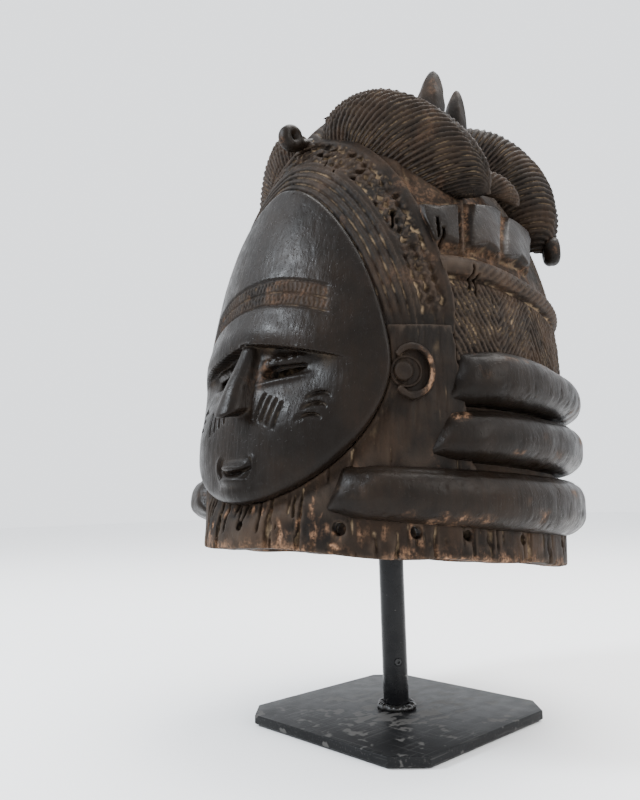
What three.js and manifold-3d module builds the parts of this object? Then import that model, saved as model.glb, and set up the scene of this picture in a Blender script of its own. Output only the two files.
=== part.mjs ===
// A carved wooden helmet mask hung on its steel display stand.
//
// The mask is one block of wood, hollowed from below: a domed helmet with a shield-shaped face,
// two side lobes of hair, a rear lobe, curls, two crown horns, ears and three neck rolls.
// The stand is a clipped square plate, a tube welded to it, a rod that telescopes in the tube
// and is locked by a set screw, and a padded head that turns on the rod and carries the mask.
//
// Millimetres, +Z up. The origin is on the surface that the stand rests on, on the post's axis.
// The mask faces -Y, and its own left side is +X.

import * as THREE from "three";
import { mergeVertices } from "three/addons/utils/BufferGeometryUtils.js";
import Module from "manifold-3d";

// ---------------------------------------------------------------- driving dimensions

const GAP = 0.3; // clearance between pieces that touch

const FELT = { thickness: 1.5, inset: 2 };
const PLATE = { side: 160, thickness: 6, cut: 18 }; // cut is the leg of each clipped corner
const PLATE_TOP = FELT.thickness + PLATE.thickness;

const RIM = PLATE_TOP + 99; // height of the mask's own zero, near its lower edge
const CAVITY_TOP = 292; // flat inside of the crown, above the mask's zero
const CEILING = RIM + CAVITY_TOP; // where the mask rests on the stand's pad

const TUBE = { outer: 9, inner: 7 }; // radii
const WELD = { reach: 5, height: 6 };
const LOCK = { height: PLATE_TOP + 33, radius: 2.5, turn: -33, length: 3 }; // turn is degrees from +X
const ROD = { radius: 6.5, bottom: PLATE_TOP + 3 };
const COLLAR = { radius: 12, height: 12 }; // shoulder that stops the rod's fall and carries the head
const WASHER = { radius: 11, thickness: 2 };
const HUB = { radius: 14, height: 16 };
const DISC = { radius: 38, thickness: 4 };
const PAD = { radius: 38, thickness: 8 };
const CAP_SCREW = { radius: 3, head: 6, headHeight: 3 };
const SPIGOT = 5; // radius of the rod's end inside the hub

const HELMET = {
  centre: -13, // y of the helmet's own axis
  top: 338,
  halfWidth: 120,
  front: 126,
  back: 151,
  backAtRim: 139,
};
const RIM_SLOPE = 0.1; // the lower edge is cut higher at the chin than at the nape
const WALL = 15;

// Each roll: where its lower front tip starts (degrees from the front), its lower and upper
// heights at the tip and at the nape, and how far the slanted end leans.
const ROLLS = [
  { tip: 28.5, lean: 6.5, low: [40, 17], high: [70, 57] },
  { tip: 57, lean: 8.5, low: [71, 60], high: [101, 96] },
  { tip: 64, lean: 6.5, low: [103, 99], high: [134, 126] },
];
const ROLL_REACH = 14;
const ROLL_SUNK = 7;

// Hair lobes: the spine's three control points, and the half height and half width at the middle.
const SIDE_LOBE = {
  spine: [[17, -68, 295], [42, -60, 331], [113, -18, 246]],
  high: 30,
  wide: 16,
};
const REAR_LOBE = {
  spine: [[33, 43, 326], [49, 98, 328], [86, 102, 240]],
  high: 30,
  wide: 28,
};
const HORNS = [
  { foot: [0, 56, 300], tip: [3, 76, 424], half: 12 },
  { foot: [0, 92, 290], tip: [3, 111, 419], half: 11 },
];
const CURL_FRONT = { at: [0, -88, 303], ring: 7, tube: 6, stem: [0, -56, 308] };
const CURL_REAR = { at: [88, 104, 243], ring: 7, tube: 6 };
const EAR = { angle: 54, height: 122, ring: 16, tube: 5 };
const NOSE = { top: 142, bottom: 102, half: 9, reach: 14 };
const EYE = { inner: 7, outer: 21.5, height: 129, half: 4 }; // angles from the front, then heights
const FACE = { chin: 48, widest: 127, apex: 262, half: 90, out: 4 };
const PANELS = { from: 60.5, pitch: 16.5, span: 12.5, low: 203, high: 241, out: 7, bevel: 3, count: 3 };
const CORNICE = { from: 59, low: [185, 164], high: [200, 182], out: 6 };
const RIM_HOLES = [0, 32, 52.5, 68, 90, 118, 150]; // degrees from the front, on both sides
const RIM_HOLE_RADIUS = 3.5;

// ---------------------------------------------------------------- solids

const wasm = await Module();
wasm.setup();

const deg = THREE.MathUtils.degToRad;
const vec = (p) => new THREE.Vector3(...p);

// A closed three.js geometry as a manifold-3d solid.
function solid(geometry, matrix) {
  const bare = new THREE.BufferGeometry();
  bare.setAttribute("position", geometry.getAttribute("position").clone());
  if (geometry.index) bare.setIndex(geometry.index.clone());
  if (matrix) bare.applyMatrix4(matrix);
  const merged = mergeVertices(bare, 1e-4);
  return new wasm.Manifold(
    new wasm.Mesh({
      numProp: 3,
      vertProperties: new Float32Array(merged.attributes.position.array),
      triVerts: new Uint32Array(merged.index.array),
    }),
  );
}

// A manifold-3d solid as a flat-shaded three.js geometry.
function geometryOf(made) {
  const mesh = made.getMesh();
  const geometry = new THREE.BufferGeometry();
  const points = new Float32Array(mesh.numVert * 3);
  for (let i = 0; i < mesh.numVert; i++) {
    points.set(mesh.vertProperties.subarray(i * mesh.numProp, i * mesh.numProp + 3), i * 3);
  }
  geometry.setAttribute("position", new THREE.BufferAttribute(points, 3));
  geometry.setIndex(new THREE.BufferAttribute(new Uint32Array(mesh.triVerts), 1));
  const flat = geometry.toNonIndexed();
  flat.computeVertexNormals();
  return flat;
}

// Rings of equal length joined into one closed skin, with a fan over each end.
// Rings are ordered so that the skin faces out when each ring turns anticlockwise about the way on.
function loft(rings) {
  const count = rings[0].length;
  const points = rings.flat().flatMap((p) => [p.x, p.y, p.z]);
  const index = [];
  for (let r = 0; r + 1 < rings.length; r++) {
    for (let i = 0; i < count; i++) {
      const j = (i + 1) % count;
      const [a, b] = [r * count + i, r * count + j];
      index.push(a, b, b + count, a, b + count, a + count);
    }
  }
  for (const [start, flip] of [[0, true], [(rings.length - 1) * count, false]]) {
    for (let i = 1; i + 1 < count; i++) {
      const face = [start, start + i, start + i + 1];
      index.push(...(flip ? face.reverse() : face));
    }
  }
  const geometry = new THREE.BufferGeometry();
  geometry.setAttribute("position", new THREE.Float32BufferAttribute(points, 3));
  geometry.setIndex(index);
  return geometry;
}

// A cylinder or cone about a line, as a solid.
function rod(from, to, radius, radiusTo = radius, sides = 24) {
  const [a, b] = [vec(from), vec(to)];
  const along = b.clone().sub(a);
  const geometry = new THREE.CylinderGeometry(radiusTo, radius, along.length(), sides);
  const turn = new THREE.Quaternion().setFromUnitVectors(
    new THREE.Vector3(0, 1, 0),
    along.clone().normalize(),
  );
  const middle = a.clone().lerp(b, 0.5);
  return solid(geometry, new THREE.Matrix4().compose(middle, turn, new THREE.Vector3(1, 1, 1)));
}

// ---------------------------------------------------------------- the helmet's form

// How much of a dome's reach is left at a share t of its height.
const dome = (t, p, q) => Math.pow(Math.max(0, 1 - Math.pow(Math.min(Math.max(t, 0), 1), p)), 1 / q);

const shareFrom = (start, z) => (z - start) / (HELMET.top - start);

// Half width, front reach and back reach of the helmet at a height above the rim's zero.
function helmetSize(z) {
  const rise = Math.sin((Math.PI / 2) * Math.min(Math.max(z, 0) / 150, 1));
  const back = HELMET.backAtRim + (HELMET.back - HELMET.backAtRim) * rise;
  return {
    side: Math.max(HELMET.halfWidth * dome(shareFrom(140, z), 1.7, 1.8), 1),
    front: Math.max(HELMET.front * dome(shareFrom(30, z), 1.7, 2.2), 1),
    back: Math.max(back * dome(shareFrom(190, z), 2.2, 2), 1),
  };
}

// The point of the helmet's skin at an angle from the front, a height, and a distance out of it.
function helmetPoint(angle, z, out = 0) {
  const { side, front, back } = helmetSize(z);
  const [s, c] = [Math.sin(deg(angle)), Math.cos(deg(angle))];
  const power = c > 0 ? 2 : 2.3;
  const reach = c > 0 ? front : back;
  const share = Math.pow(Math.abs(s) / side, power) + Math.pow(Math.abs(c) / reach, power);
  const radius = Math.pow(share, -1 / power) + out;
  return new THREE.Vector3(s * radius, HELMET.centre - c * radius, z);
}

const rimHeight = (y) => 6 - RIM_SLOPE * y;

// A stack of rings that follows the helmet, from a foot below the rim to a lid at the top.
function helmetShell(out, foot, top, levels, sides) {
  const rings = [];
  for (let i = 0; i <= levels; i++) {
    const share = i / levels;
    const z = foot + (top - foot) * (1 - Math.pow(1 - share, 1.5));
    rings.push(
      Array.from({ length: sides }, (_, k) => helmetPoint((360 * k) / sides, Math.min(z, top), out)),
    );
  }
  return solid(loft(rings));
}

// A bent bun of hair about a spine: blunt at its start and pointed at its end.
function bun({ spine, high, wide }, stations = 9, sides = 12) {
  const curve = new THREE.QuadraticBezierCurve3(...spine.map(vec));
  const rings = [];
  for (let i = 0; i <= stations; i++) {
    const t = i / stations;
    const early = Math.min(t / 0.4, 1);
    const late = Math.max(0, (t - 0.4) / 0.6);
    const swell = Math.sqrt(1 - (1 - early) ** 2) * Math.pow(1 - late * late, 0.7);
    const size = Math.max(swell, 0.06);
    const at = curve.getPoint(t);
    const along = curve.getTangent(t);
    const up = new THREE.Vector3(0, 0, 1).addScaledVector(along, -along.z).normalize();
    const side = new THREE.Vector3().crossVectors(along, up);
    rings.push(
      Array.from({ length: sides }, (_, k) => {
        const turn = (2 * Math.PI * k) / sides;
        return at
          .clone()
          .addScaledVector(side, Math.cos(turn) * wide * size)
          .addScaledVector(up, -Math.sin(turn) * high * size);
      }),
    );
  }
  return solid(loft(rings));
}

const mirrored = (made) => made.mirror([1, 0, 0]);

// A band carried round the nape from one side to the other. Its section is a list of
// [distance out, share of height], from its upper inner edge round to its lower inner edge.
function band(section, { tip, lean, low, high }, stations, tipSwell) {
  const rings = [];
  for (let i = 0; i <= stations; i++) {
    const share = i / stations;
    const nape = Math.sin(Math.PI * share);
    const swell = Math.min(1, tipSwell + 6 * Math.min(share, 1 - share));
    rings.push(
      section.map(([out, height]) => {
        const start = tip + lean * height;
        const angle = start + (360 - 2 * start) * share;
        const z = THREE.MathUtils.lerp(
          THREE.MathUtils.lerp(low[0], low[1], nape),
          THREE.MathUtils.lerp(high[0], high[1], nape),
          height,
        );
        return helmetPoint(angle, z, out > 0 ? out * swell : out);
      }),
    );
  }
  return solid(loft(rings));
}

// One neck roll: a fat D section with slanted tips.
function neckRoll(roll) {
  const section = [
    [-ROLL_SUNK, 1],
    [ROLL_REACH * 0.5, 0.98],
    [ROLL_REACH * 0.88, 0.86],
    [ROLL_REACH, 0.64],
    [ROLL_REACH, 0.36],
    [ROLL_REACH * 0.9, 0.14],
    [ROLL_REACH * 0.55, 0.02],
    [-ROLL_SUNK, 0],
  ];
  return band(section, roll, 22, 0.25);
}

// The moulding under the panels.
function cornice() {
  const { out } = CORNICE;
  const section = [[-ROLL_SUNK, 1], [out * 0.6, 1], [out, 0.5], [out * 0.6, 0], [-ROLL_SUNK, 0]];
  return band(section, { tip: CORNICE.from, lean: 0, low: CORNICE.low, high: CORNICE.high }, 18, 1);
}

// The smooth shield of the face, standing a little out of the helmet.
function face() {
  const half = (z) => {
    const above = z > FACE.widest;
    const share = above
      ? (z - FACE.widest) / (FACE.apex - FACE.widest)
      : (FACE.widest - z) / (FACE.widest - FACE.chin);
    const power = above ? 1.7 : 2.1;
    return FACE.half * Math.pow(Math.max(0, 1 - Math.pow(share, power)), 1 / power);
  };
  const steps = 7;
  const outline = [];
  for (let i = 0; i < 2 * steps; i++) {
    const rise = (1 - Math.cos((Math.PI * i) / (2 * steps))) / 2;
    const z = THREE.MathUtils.lerp(FACE.chin, FACE.apex, rise);
    outline.push(new THREE.Vector2(half(z), z));
  }
  const shape = new THREE.Shape(outline);
  shape.lineTo(0, FACE.apex);
  for (const { x, y } of outline.slice(1).reverse()) shape.lineTo(-x, y);
  shape.closePath();
  const depth = 160;
  const prism = solid(
    new THREE.ExtrudeGeometry(shape, { depth, bevelEnabled: false }),
    new THREE.Matrix4().makeRotationX(Math.PI / 2),
  ).translate([0, HELMET.centre, 0]);
  return helmetShell(FACE.out, -20, HELMET.top, 14, 36).intersect(prism);
}

// Raised blocks with bevelled faces in a row above the cornice.
function panels() {
  const { from, pitch, span, low, high, out, bevel, count } = PANELS;
  return Array.from({ length: count }, (_, i) => {
    const start = from + pitch * i;
    const ringAt = (reach, inset) => {
      const shrink = (inset / (high - low)) * span;
      const corners = [
        [start + shrink, low + inset],
        [start + span - shrink, low + inset],
        [start + span - shrink, high - inset],
        [start + shrink, high - inset],
      ];
      return corners.map(([angle, z]) => helmetPoint(angle, z, reach));
    };
    return solid(loft([ringAt(-ROLL_SUNK, 0), ringAt(out - bevel, 0), ringAt(out, bevel)]));
  });
}

// A ring of round section lying on the helmet's skin, such as an ear's rim or a curl.
function ring(at, radius, tube, axis) {
  const turn = new THREE.Quaternion().setFromUnitVectors(new THREE.Vector3(0, 0, 1), axis);
  const matrix = new THREE.Matrix4().compose(at, turn, new THREE.Vector3(1, 1, 1));
  return solid(new THREE.TorusGeometry(radius, tube, 6, 14), matrix);
}

function ear() {
  const at = helmetPoint(EAR.angle, EAR.height, 1);
  const axis = at.clone().sub(new THREE.Vector3(0, HELMET.centre, EAR.height)).normalize();
  const knob = rod(
    at.clone().addScaledVector(axis, -8).toArray(),
    at.clone().addScaledVector(axis, 5).toArray(),
    7,
    5,
    12,
  );
  return ring(at, EAR.ring, EAR.tube, axis).add(knob);
}

function nose() {
  const section = (z, reach, half) => {
    const skin = helmetPoint(0, z).y;
    return [
      new THREE.Vector3(-half, skin + 14, z),
      new THREE.Vector3(half, skin + 14, z),
      new THREE.Vector3(half, skin + 2, z),
      new THREE.Vector3(half * 0.7, skin - reach, z),
      new THREE.Vector3(-half * 0.7, skin - reach, z),
      new THREE.Vector3(-half, skin + 2, z),
    ];
  };
  return solid(
    loft([
      section(NOSE.top + 12, 1, NOSE.half * 0.6),
      section(NOSE.top, 6, NOSE.half * 0.8),
      section(NOSE.bottom + 6, NOSE.reach, NOSE.half),
      section(NOSE.bottom, NOSE.reach * 0.8, NOSE.half * 0.9),
    ]),
  );
}

function horn({ foot, tip, half }) {
  const flatten = new THREE.Vector3(1, 0.7, 1);
  const [a, b] = [vec(foot), vec(tip)];
  const rings = [0, 0.35, 0.6, 0.8, 0.93, 1].map((t) => {
    const size = half * Math.pow(1 - t * t, 0.55) + 1.5;
    const at = a.clone().lerp(b, t);
    return Array.from({ length: 12 }, (_, k) => {
      const turn = (2 * Math.PI * k) / 12;
      return new THREE.Vector3(Math.cos(turn), Math.sin(turn), 0)
        .multiplyScalar(size)
        .multiply(flatten)
        .add(at);
    });
  });
  return solid(loft(rings));
}

// A slot through the wall at each eye, wide and low.
function eyeSlot(side) {
  const [near, far] = [EYE.inner, EYE.outer].map((angle) => side * angle);
  const outline = [
    [near, -EYE.half * 0.7],
    [(near + far) / 2, -EYE.half],
    [far, 0],
    [(near + far) / 2, EYE.half],
    [near, EYE.half * 0.7],
  ];
  const ringAt = (out) => outline.map(([angle, dz]) => helmetPoint(angle, EYE.height + dz, out));
  const rings = [ringAt(-WALL * 2), ringAt(12)];
  return solid(loft(side > 0 ? rings : rings.map((points) => points.reverse())));
}

function rimHole(angle) {
  const skin = helmetPoint(angle, 0);
  const z = rimHeight(skin.y) + 16;
  const [inside, outside] = [helmetPoint(angle, z, -WALL * 2), helmetPoint(angle, z, WALL)];
  return rod(inside.toArray(), outside.toArray(), RIM_HOLE_RADIUS, RIM_HOLE_RADIUS, 12);
}

// Everything below the sloping lower edge.
function belowRim() {
  const reach = 200;
  const block = new THREE.BoxGeometry(2 * reach, 2 * reach, reach);
  const tilt = new THREE.Quaternion().setFromAxisAngle(
    new THREE.Vector3(1, 0, 0),
    -Math.atan(RIM_SLOPE),
  );
  const offset = new THREE.Vector3(0, 0, -reach / 2).applyQuaternion(tilt);
  offset.z += rimHeight(0);
  return solid(block, new THREE.Matrix4().compose(offset, tilt, new THREE.Vector3(1, 1, 1)));
}

function maskSolid() {
  let made = helmetShell(0, -20, HELMET.top, 14, 36);
  made = made.add(face());
  for (const roll of ROLLS) made = made.add(neckRoll(roll));
  const lobe = bun(SIDE_LOBE);
  const rear = bun(REAR_LOBE).add(
    ring(vec(CURL_REAR.at), CURL_REAR.ring, CURL_REAR.tube, new THREE.Vector3(1, 0.6, 0).normalize()),
  );
  for (const piece of [lobe, rear, ear(), ...panels()]) made = made.add(piece).add(mirrored(piece));
  for (const spike of HORNS) made = made.add(horn(spike));
  const across = new THREE.Vector3(1, 0, 0);
  made = made.add(ring(vec(CURL_FRONT.at), CURL_FRONT.ring, CURL_FRONT.tube, across));
  made = made.add(rod(CURL_FRONT.at, CURL_FRONT.stem, CURL_FRONT.tube));
  made = made.add(cornice()).add(nose());
  const cavity = helmetShell(-WALL, -40, HELMET.top - 1, 10, 24).subtract(
    solid(new THREE.BoxGeometry(400, 400, 400), new THREE.Matrix4().makeTranslation(0, 0, CAVITY_TOP + 200)),
  );
  made = made.subtract(cavity).subtract(belowRim());
  for (const side of [1, -1]) made = made.subtract(eyeSlot(side));
  for (const angle of RIM_HOLES) {
    made = made.subtract(rimHole(angle)).subtract(rimHole(-angle));
  }
  return made.translate([0, 0, RIM]);
}

// ---------------------------------------------------------------- the stand

// A square plate outline with clipped corners.
function clippedSquare(side, cut) {
  const h = side / 2;
  const corners = [[-h, -h], [h, -h], [h, h], [-h, h]];
  const shape = new THREE.Shape();
  corners.forEach(([x, y], i) => {
    const before = corners[(i + 3) % 4];
    const after = corners[(i + 1) % 4];
    const towards = ([px, py]) => [x + ((px - x) / side) * cut, y + ((py - y) / side) * cut];
    const [a, b] = [towards(before), towards(after)];
    if (i === 0) shape.moveTo(...a);
    else shape.lineTo(...a);
    shape.lineTo(...b);
  });
  shape.closePath();
  return shape;
}

function slab(shape, bottom, thickness) {
  return solid(
    new THREE.ExtrudeGeometry(shape, { depth: thickness, bevelEnabled: false }),
    new THREE.Matrix4().makeTranslation(0, 0, bottom),
  );
}

// A round piece turned about the post's axis, from [radius, height] points listed upwards.
function turned(profile, sides = 24) {
  const outline = profile.map(([radius, height]) => new THREE.Vector2(radius, height));
  return solid(new THREE.LatheGeometry(outline, sides), new THREE.Matrix4().makeRotationX(Math.PI / 2));
}

// A turned piece with a hole through it.
const sleeve = (outer, inner, low, high) =>
  turned([[inner, low], [outer, low], [outer, high], [inner, high], [inner, low]]);

const lockAxis = new THREE.Vector3(Math.cos(deg(LOCK.turn)), Math.sin(deg(LOCK.turn)), 0);
const onLockAxis = (reach) => lockAxis.clone().multiplyScalar(reach).setZ(LOCK.height).toArray();

const headTop = CEILING - GAP;
const padBottom = headTop - PAD.thickness;
const discBottom = padBottom - DISC.thickness;
const hubBottom = discBottom - HUB.height;
const washerBottom = hubBottom - WASHER.thickness - GAP;
const rodShoulder = washerBottom - GAP;
const rodTop = discBottom - 4;
const tubeTop = rodShoulder - COLLAR.height - GAP;

function postTube() {
  const [inside, outside] = [TUBE.inner - 2, TUBE.outer + 2].map(onLockAxis);
  const hole = rod(inside, outside, LOCK.radius + GAP, LOCK.radius + GAP, 16);
  return sleeve(TUBE.outer, TUBE.inner, PLATE_TOP, tubeTop).subtract(hole);
}

function weldBead() {
  const foot = TUBE.outer + GAP;
  return turned([
    [foot, PLATE_TOP],
    [foot + WELD.reach, PLATE_TOP],
    [foot + WELD.reach * 0.75, PLATE_TOP + WELD.height * 0.45],
    [foot, PLATE_TOP + WELD.height],
    [foot, PLATE_TOP],
  ]);
}

function lockScrew() {
  const start = ROD.radius + GAP;
  return rod(onLockAxis(start), onLockAxis(start + LOCK.length), LOCK.radius, LOCK.radius, 12);
}

function innerRod() {
  return turned([
    [0, ROD.bottom],
    [ROD.radius, ROD.bottom],
    [ROD.radius, rodShoulder - COLLAR.height],
    [COLLAR.radius, rodShoulder - COLLAR.height],
    [COLLAR.radius, rodShoulder],
    [SPIGOT, rodShoulder],
    [SPIGOT, rodTop],
    [0, rodTop],
  ]);
}

const swivelWasher = () =>
  sleeve(WASHER.radius, SPIGOT + GAP, washerBottom, washerBottom + WASHER.thickness);

function supportHub() {
  return turned([
    [SPIGOT + GAP, hubBottom],
    [HUB.radius, hubBottom],
    [HUB.radius, discBottom - GAP],
    [CAP_SCREW.radius + GAP, discBottom - GAP],
    [CAP_SCREW.radius + GAP, rodTop + GAP],
    [SPIGOT + GAP, rodTop + GAP],
    [SPIGOT + GAP, hubBottom],
  ]);
}

const supportDisc = () =>
  sleeve(DISC.radius, CAP_SCREW.radius + GAP, discBottom, padBottom - GAP);

const supportPad = () => sleeve(PAD.radius, CAP_SCREW.head + 1, padBottom, headTop);

function capScrew() {
  const bottom = padBottom;
  return turned([
    [0, rodTop + GAP],
    [CAP_SCREW.radius, rodTop + GAP],
    [CAP_SCREW.radius, bottom],
    [CAP_SCREW.head, bottom],
    [CAP_SCREW.head, bottom + CAP_SCREW.headHeight],
    [0, bottom + CAP_SCREW.headHeight],
  ]);
}

// ---------------------------------------------------------------- materials and the scene graph

const finish = (color, roughness, metalness) =>
  new THREE.MeshStandardMaterial({ color, roughness, metalness });

const carvedWood = finish(0x2a211b, 0.55, 0);
const blackSteel = finish(0x1f1e1c, 0.45, 0.6);
const weldSteel = finish(0x131313, 0.5, 0.6);
const brightSteel = finish(0x6f6f6c, 0.35, 0.9);
const blackFelt = finish(0x1a1a1a, 0.95, 0);
const nylon = finish(0xd8d4c8, 0.6, 0);

const object = new THREE.Group();
function place(name, made, material) {
  const mesh = new THREE.Mesh(geometryOf(made), material);
  mesh.name = name;
  object.add(mesh);
}

place("mask", maskSolid(), carvedWood);
place(
  "base_felt",
  slab(clippedSquare(PLATE.side - 2 * FELT.inset, PLATE.cut), 0, FELT.thickness),
  blackFelt,
);
place(
  "base_plate",
  slab(clippedSquare(PLATE.side, PLATE.cut), FELT.thickness, PLATE.thickness),
  blackSteel,
);
place("post_tube", postTube(), blackSteel);
place("weld_bead", weldBead(), weldSteel);
place("lock_screw", lockScrew(), brightSteel);
place("inner_rod", innerRod(), brightSteel);
place("swivel_washer", swivelWasher(), nylon);
place("support_hub", supportHub(), blackSteel);
place("support_disc", supportDisc(), blackSteel);
place("support_screw", capScrew(), brightSteel);
place("support_pad", supportPad(), blackFelt);

export default object;
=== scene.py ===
import math

import bmesh
import bpy
import numpy as np
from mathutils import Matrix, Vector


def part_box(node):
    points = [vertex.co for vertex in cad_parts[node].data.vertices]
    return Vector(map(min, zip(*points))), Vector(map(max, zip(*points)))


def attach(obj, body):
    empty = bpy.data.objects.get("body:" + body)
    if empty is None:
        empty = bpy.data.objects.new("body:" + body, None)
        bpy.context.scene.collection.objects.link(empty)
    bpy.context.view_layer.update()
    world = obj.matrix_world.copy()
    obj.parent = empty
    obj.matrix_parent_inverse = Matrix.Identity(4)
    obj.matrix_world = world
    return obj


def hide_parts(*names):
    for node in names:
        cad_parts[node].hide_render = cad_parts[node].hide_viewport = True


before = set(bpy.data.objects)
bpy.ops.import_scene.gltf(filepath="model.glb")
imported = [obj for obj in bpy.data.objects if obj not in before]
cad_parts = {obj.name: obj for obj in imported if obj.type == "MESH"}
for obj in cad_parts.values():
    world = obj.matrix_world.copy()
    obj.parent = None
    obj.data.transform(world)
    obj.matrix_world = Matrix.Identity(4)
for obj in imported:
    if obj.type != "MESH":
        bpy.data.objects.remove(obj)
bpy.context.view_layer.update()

import openvdb
from bpy.props import FloatProperty, FloatVectorProperty, IntProperty, PointerProperty
from mathutils import Matrix, Vector

bl_info = {
    "name": "Carved Helmet Mask",
    "version": (1, 0, 0),
    "blender": (4, 5, 0),
    "location": "3D View > Sidebar > Mask",
    "description": "Carves a wooden helmet mask and finishes its display stand",
    "category": "Object",
}

MM = 0.001
PLATE_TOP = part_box("base_plate")[1].z / MM
RIM = PLATE_TOP + 99  # the mask's own zero height, near its lower edge
CEILING = (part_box("support_pad")[1].z / MM + 0.3) - RIM  # inner crown, resting on the pad
SIDES = (("left", 1), ("right", -1))

# ------------------------------------------------------------------ the helmet's proportions, mm

AXIS_Y = -13  # the helmet's own upright axis
TOP = 338
HALF_WIDTH = 120
FRONT = 126
BACK = 151
BACK_AT_RIM = 139
RIM_HEIGHT, RIM_SLOPE = 6, 0.1
SHOULDERS = {"side": 140, "front": 30, "back": 190}  # heights where each flank starts to close in
WALL = 15
SLAB = 9  # thickness of each carved piece that lies on the lining
ROLL_REACH = 13.5

# tip and lean in degrees from the front; lower and upper edges at the tip and at the nape
ROLLS = {
    "low": (28.5, 6.5, (40, 17), (70, 57)),
    "middle": (57, 8.5, (71, 60), (101, 96)),
    "high": (64, 6.5, (103, 99), (134, 126)),
}
FACE_HALF, FACE_CHIN, FACE_WIDEST, FACE_APEX = 99, 47.5, 127, 262
HAIRBAND = 20
CHIP_BAND = 23
BAND_FOOT = 146  # height where the two bands round the face sink into the neck
BAND_RISE = 26  # and how far above it they stand fully proud
BAND_SINK = 1.8  # how deep they lie at their foot
SIDE_FOOT, SIDE_TOP = 112, 306
CROWN_FOOT = 298
NECK_TOP_BEHIND = 48  # the neck's upper edge under the rolls
NECK_OVERLAP = BAND_FOOT + BAND_RISE - NECK_TOP_BEHIND
NOSE_TOP, NOSE_FOOT = 149, 101.8
EYE_X, EYE_HALF, EYE_HEIGHT = 28.5, 15.5, 128.0
EAR_ANGLE, EAR_HEIGHT, EAR_RADIUS = 53.6, 122.3, 14.8
SCAR_LINES = (173.0, 181.6, 190.2)  # heights of the three lines of the band on the brow
SCAR_REACH = 31  # and the angle where they end
CHEEK_CRESCENTS = ((112.6, 57), (106.2, 56), (99.6, 54))  # top and middle of each
PANEL_FOOT = 203.0
PANEL_STARTS = (60.4, 75.4, 92.4)
PANEL_SPANS = (12.6, 15.0, 17.4)
MOULDING, MOULDING_DROP = 193.5, 17
NAIL_MARKS = ((41.5, 12), (56.5, 9), (61, 10.5), (75, 13))  # angle, and height above the rim
NOTCH_ANGLE = 47.2
# angle and radius of each lashing hole, and angle, height and half length of each split
RIM_HOLES = ((0, 3.0), (32.2, 4.0), (52.6, 3.6), (68, 3.2), (90, 3.2), (118, 3.2), (150, 3.2))
HOLE_LIFT = 15  # above the rim
SLOTS = ((51.5, 223, 5.5), (65.5, 215.4, 6), (66.8, 208.2, 6), (75.9, 183.7, 7), (77.8, 179.3, 6),
         (22.4, 276.2, 2.5), (27.5, 263.3, 3.5))
LOBES = {
    # start, bend and end of the spine; half height; half width; slant; crest angle; blunt share;
    # and how much fuller the side towards the crown is
    "front": ((17, -68, 295), (42, -60, 331), (113, -18, 246), 30, 16, 0.36, 1.5, 0.34, 1.75),
    "rear": ((33, 43, 326), (49, 98, 328), (86, 102, 240), 32, 29, 0.16, 2.0, 0.4, 1.0),
    "lock": ((84, 0, 268), (99, 20, 272), (98, 44, 258), 9, 8, 0.2, 1.5, 0.3, 1.0),
}
HAIR_PITCH = 4.2
# foot, tip and half width
HORNS = {
    "front": ((0, 57, 312), (3, 77, 424), 16.5),
    "rear": ((0, 92, 292), (3, 111, 419), 14.5),
}
BLOCK = 6  # grid cells along each edge of the blocks that a surface is searched in


# ------------------------------------------------------------------ small maths


def smooth(low, high, value):
    """0 below low, 1 above high, and a soft rise between."""
    t = np.clip((value - low) / (high - low), 0, 1)
    return t * t * (3 - 2 * t)


def bell(distance, width):
    """1 at no distance, falling softly to nothing past the width."""
    return np.exp(-((distance / width) ** 2))


def ridges(turns, power):
    """Rounded crests, one for each turn, with a sharp groove between them."""
    return np.abs(np.sin(np.pi * turns)) ** power


def soft_min(a, b, k):
    """The smaller of two values, blended where they differ by less than k."""
    h = np.clip(0.5 + 0.5 * (b - a) / k, 0, 1)
    return b + (a - b) * h - k * h * (1 - h)


def soft_max(a, b, k):
    return -soft_min(-a, -b, k)


def lattice(x, y, z, seed):
    """One fixed random value in -1..1 for each whole-numbered corner."""
    mixed = (
        x.astype(np.uint32) * np.uint32(73856093)
        ^ y.astype(np.uint32) * np.uint32(19349663)
        ^ z.astype(np.uint32) * np.uint32(83492791)
        ^ np.uint32(seed * 7919 + 17)
    )
    mixed = (mixed ^ (mixed >> np.uint32(13))) * np.uint32(1274126177)
    mixed ^= mixed >> np.uint32(16)
    return (mixed & np.uint32(0xFFFF)).astype(np.float32) / np.float32(32767.5) - np.float32(1)


def noise(x, y, z, seed):
    """Smooth noise in -1..1 whose lumps are one unit of the coordinates across."""
    cells, eased = [], []
    for value in (x, y, z):
        cell = np.floor(value).astype(np.int32)
        part = (value - cell).astype(np.float32)
        cells.append((cell, cell + 1))
        eased.append((1 - part * part * (3 - 2 * part), part * part * (3 - 2 * part)))
    total = np.zeros(np.shape(x), np.float32)
    for i in (0, 1):
        for j in (0, 1):
            for k in (0, 1):
                weight = eased[0][i] * eased[1][j] * eased[2][k]
                total += weight * lattice(cells[0][i], cells[1][j], cells[2][k], seed)
    return total


# ------------------------------------------------------------------ the helmet's skin


def dome(share, p, q):
    """Falls from 1 to 0 as the share of the way to the top goes from 0 to 1."""
    return np.maximum(1 - np.clip(share, 0, 1) ** p, 0) ** (1 / q)


def share_from(start, z):
    return (z - start) / (TOP - start)


def helmet_size(z):
    """Half width, and reach to the front and to the back, at a height."""
    rise = np.sin(np.pi / 2 * np.clip(z / 150, 0, 1))
    back = BACK_AT_RIM + (BACK - BACK_AT_RIM) * rise
    side = np.maximum(HALF_WIDTH * dome(share_from(SHOULDERS["side"], z), 1.7, 1.8), 1)
    front = np.maximum(FRONT * dome(share_from(SHOULDERS["front"], z), 1.7, 2.2), 1)
    return side, front, np.maximum(back * dome(share_from(SHOULDERS["back"], z), 2.2, 2), 1)


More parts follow.
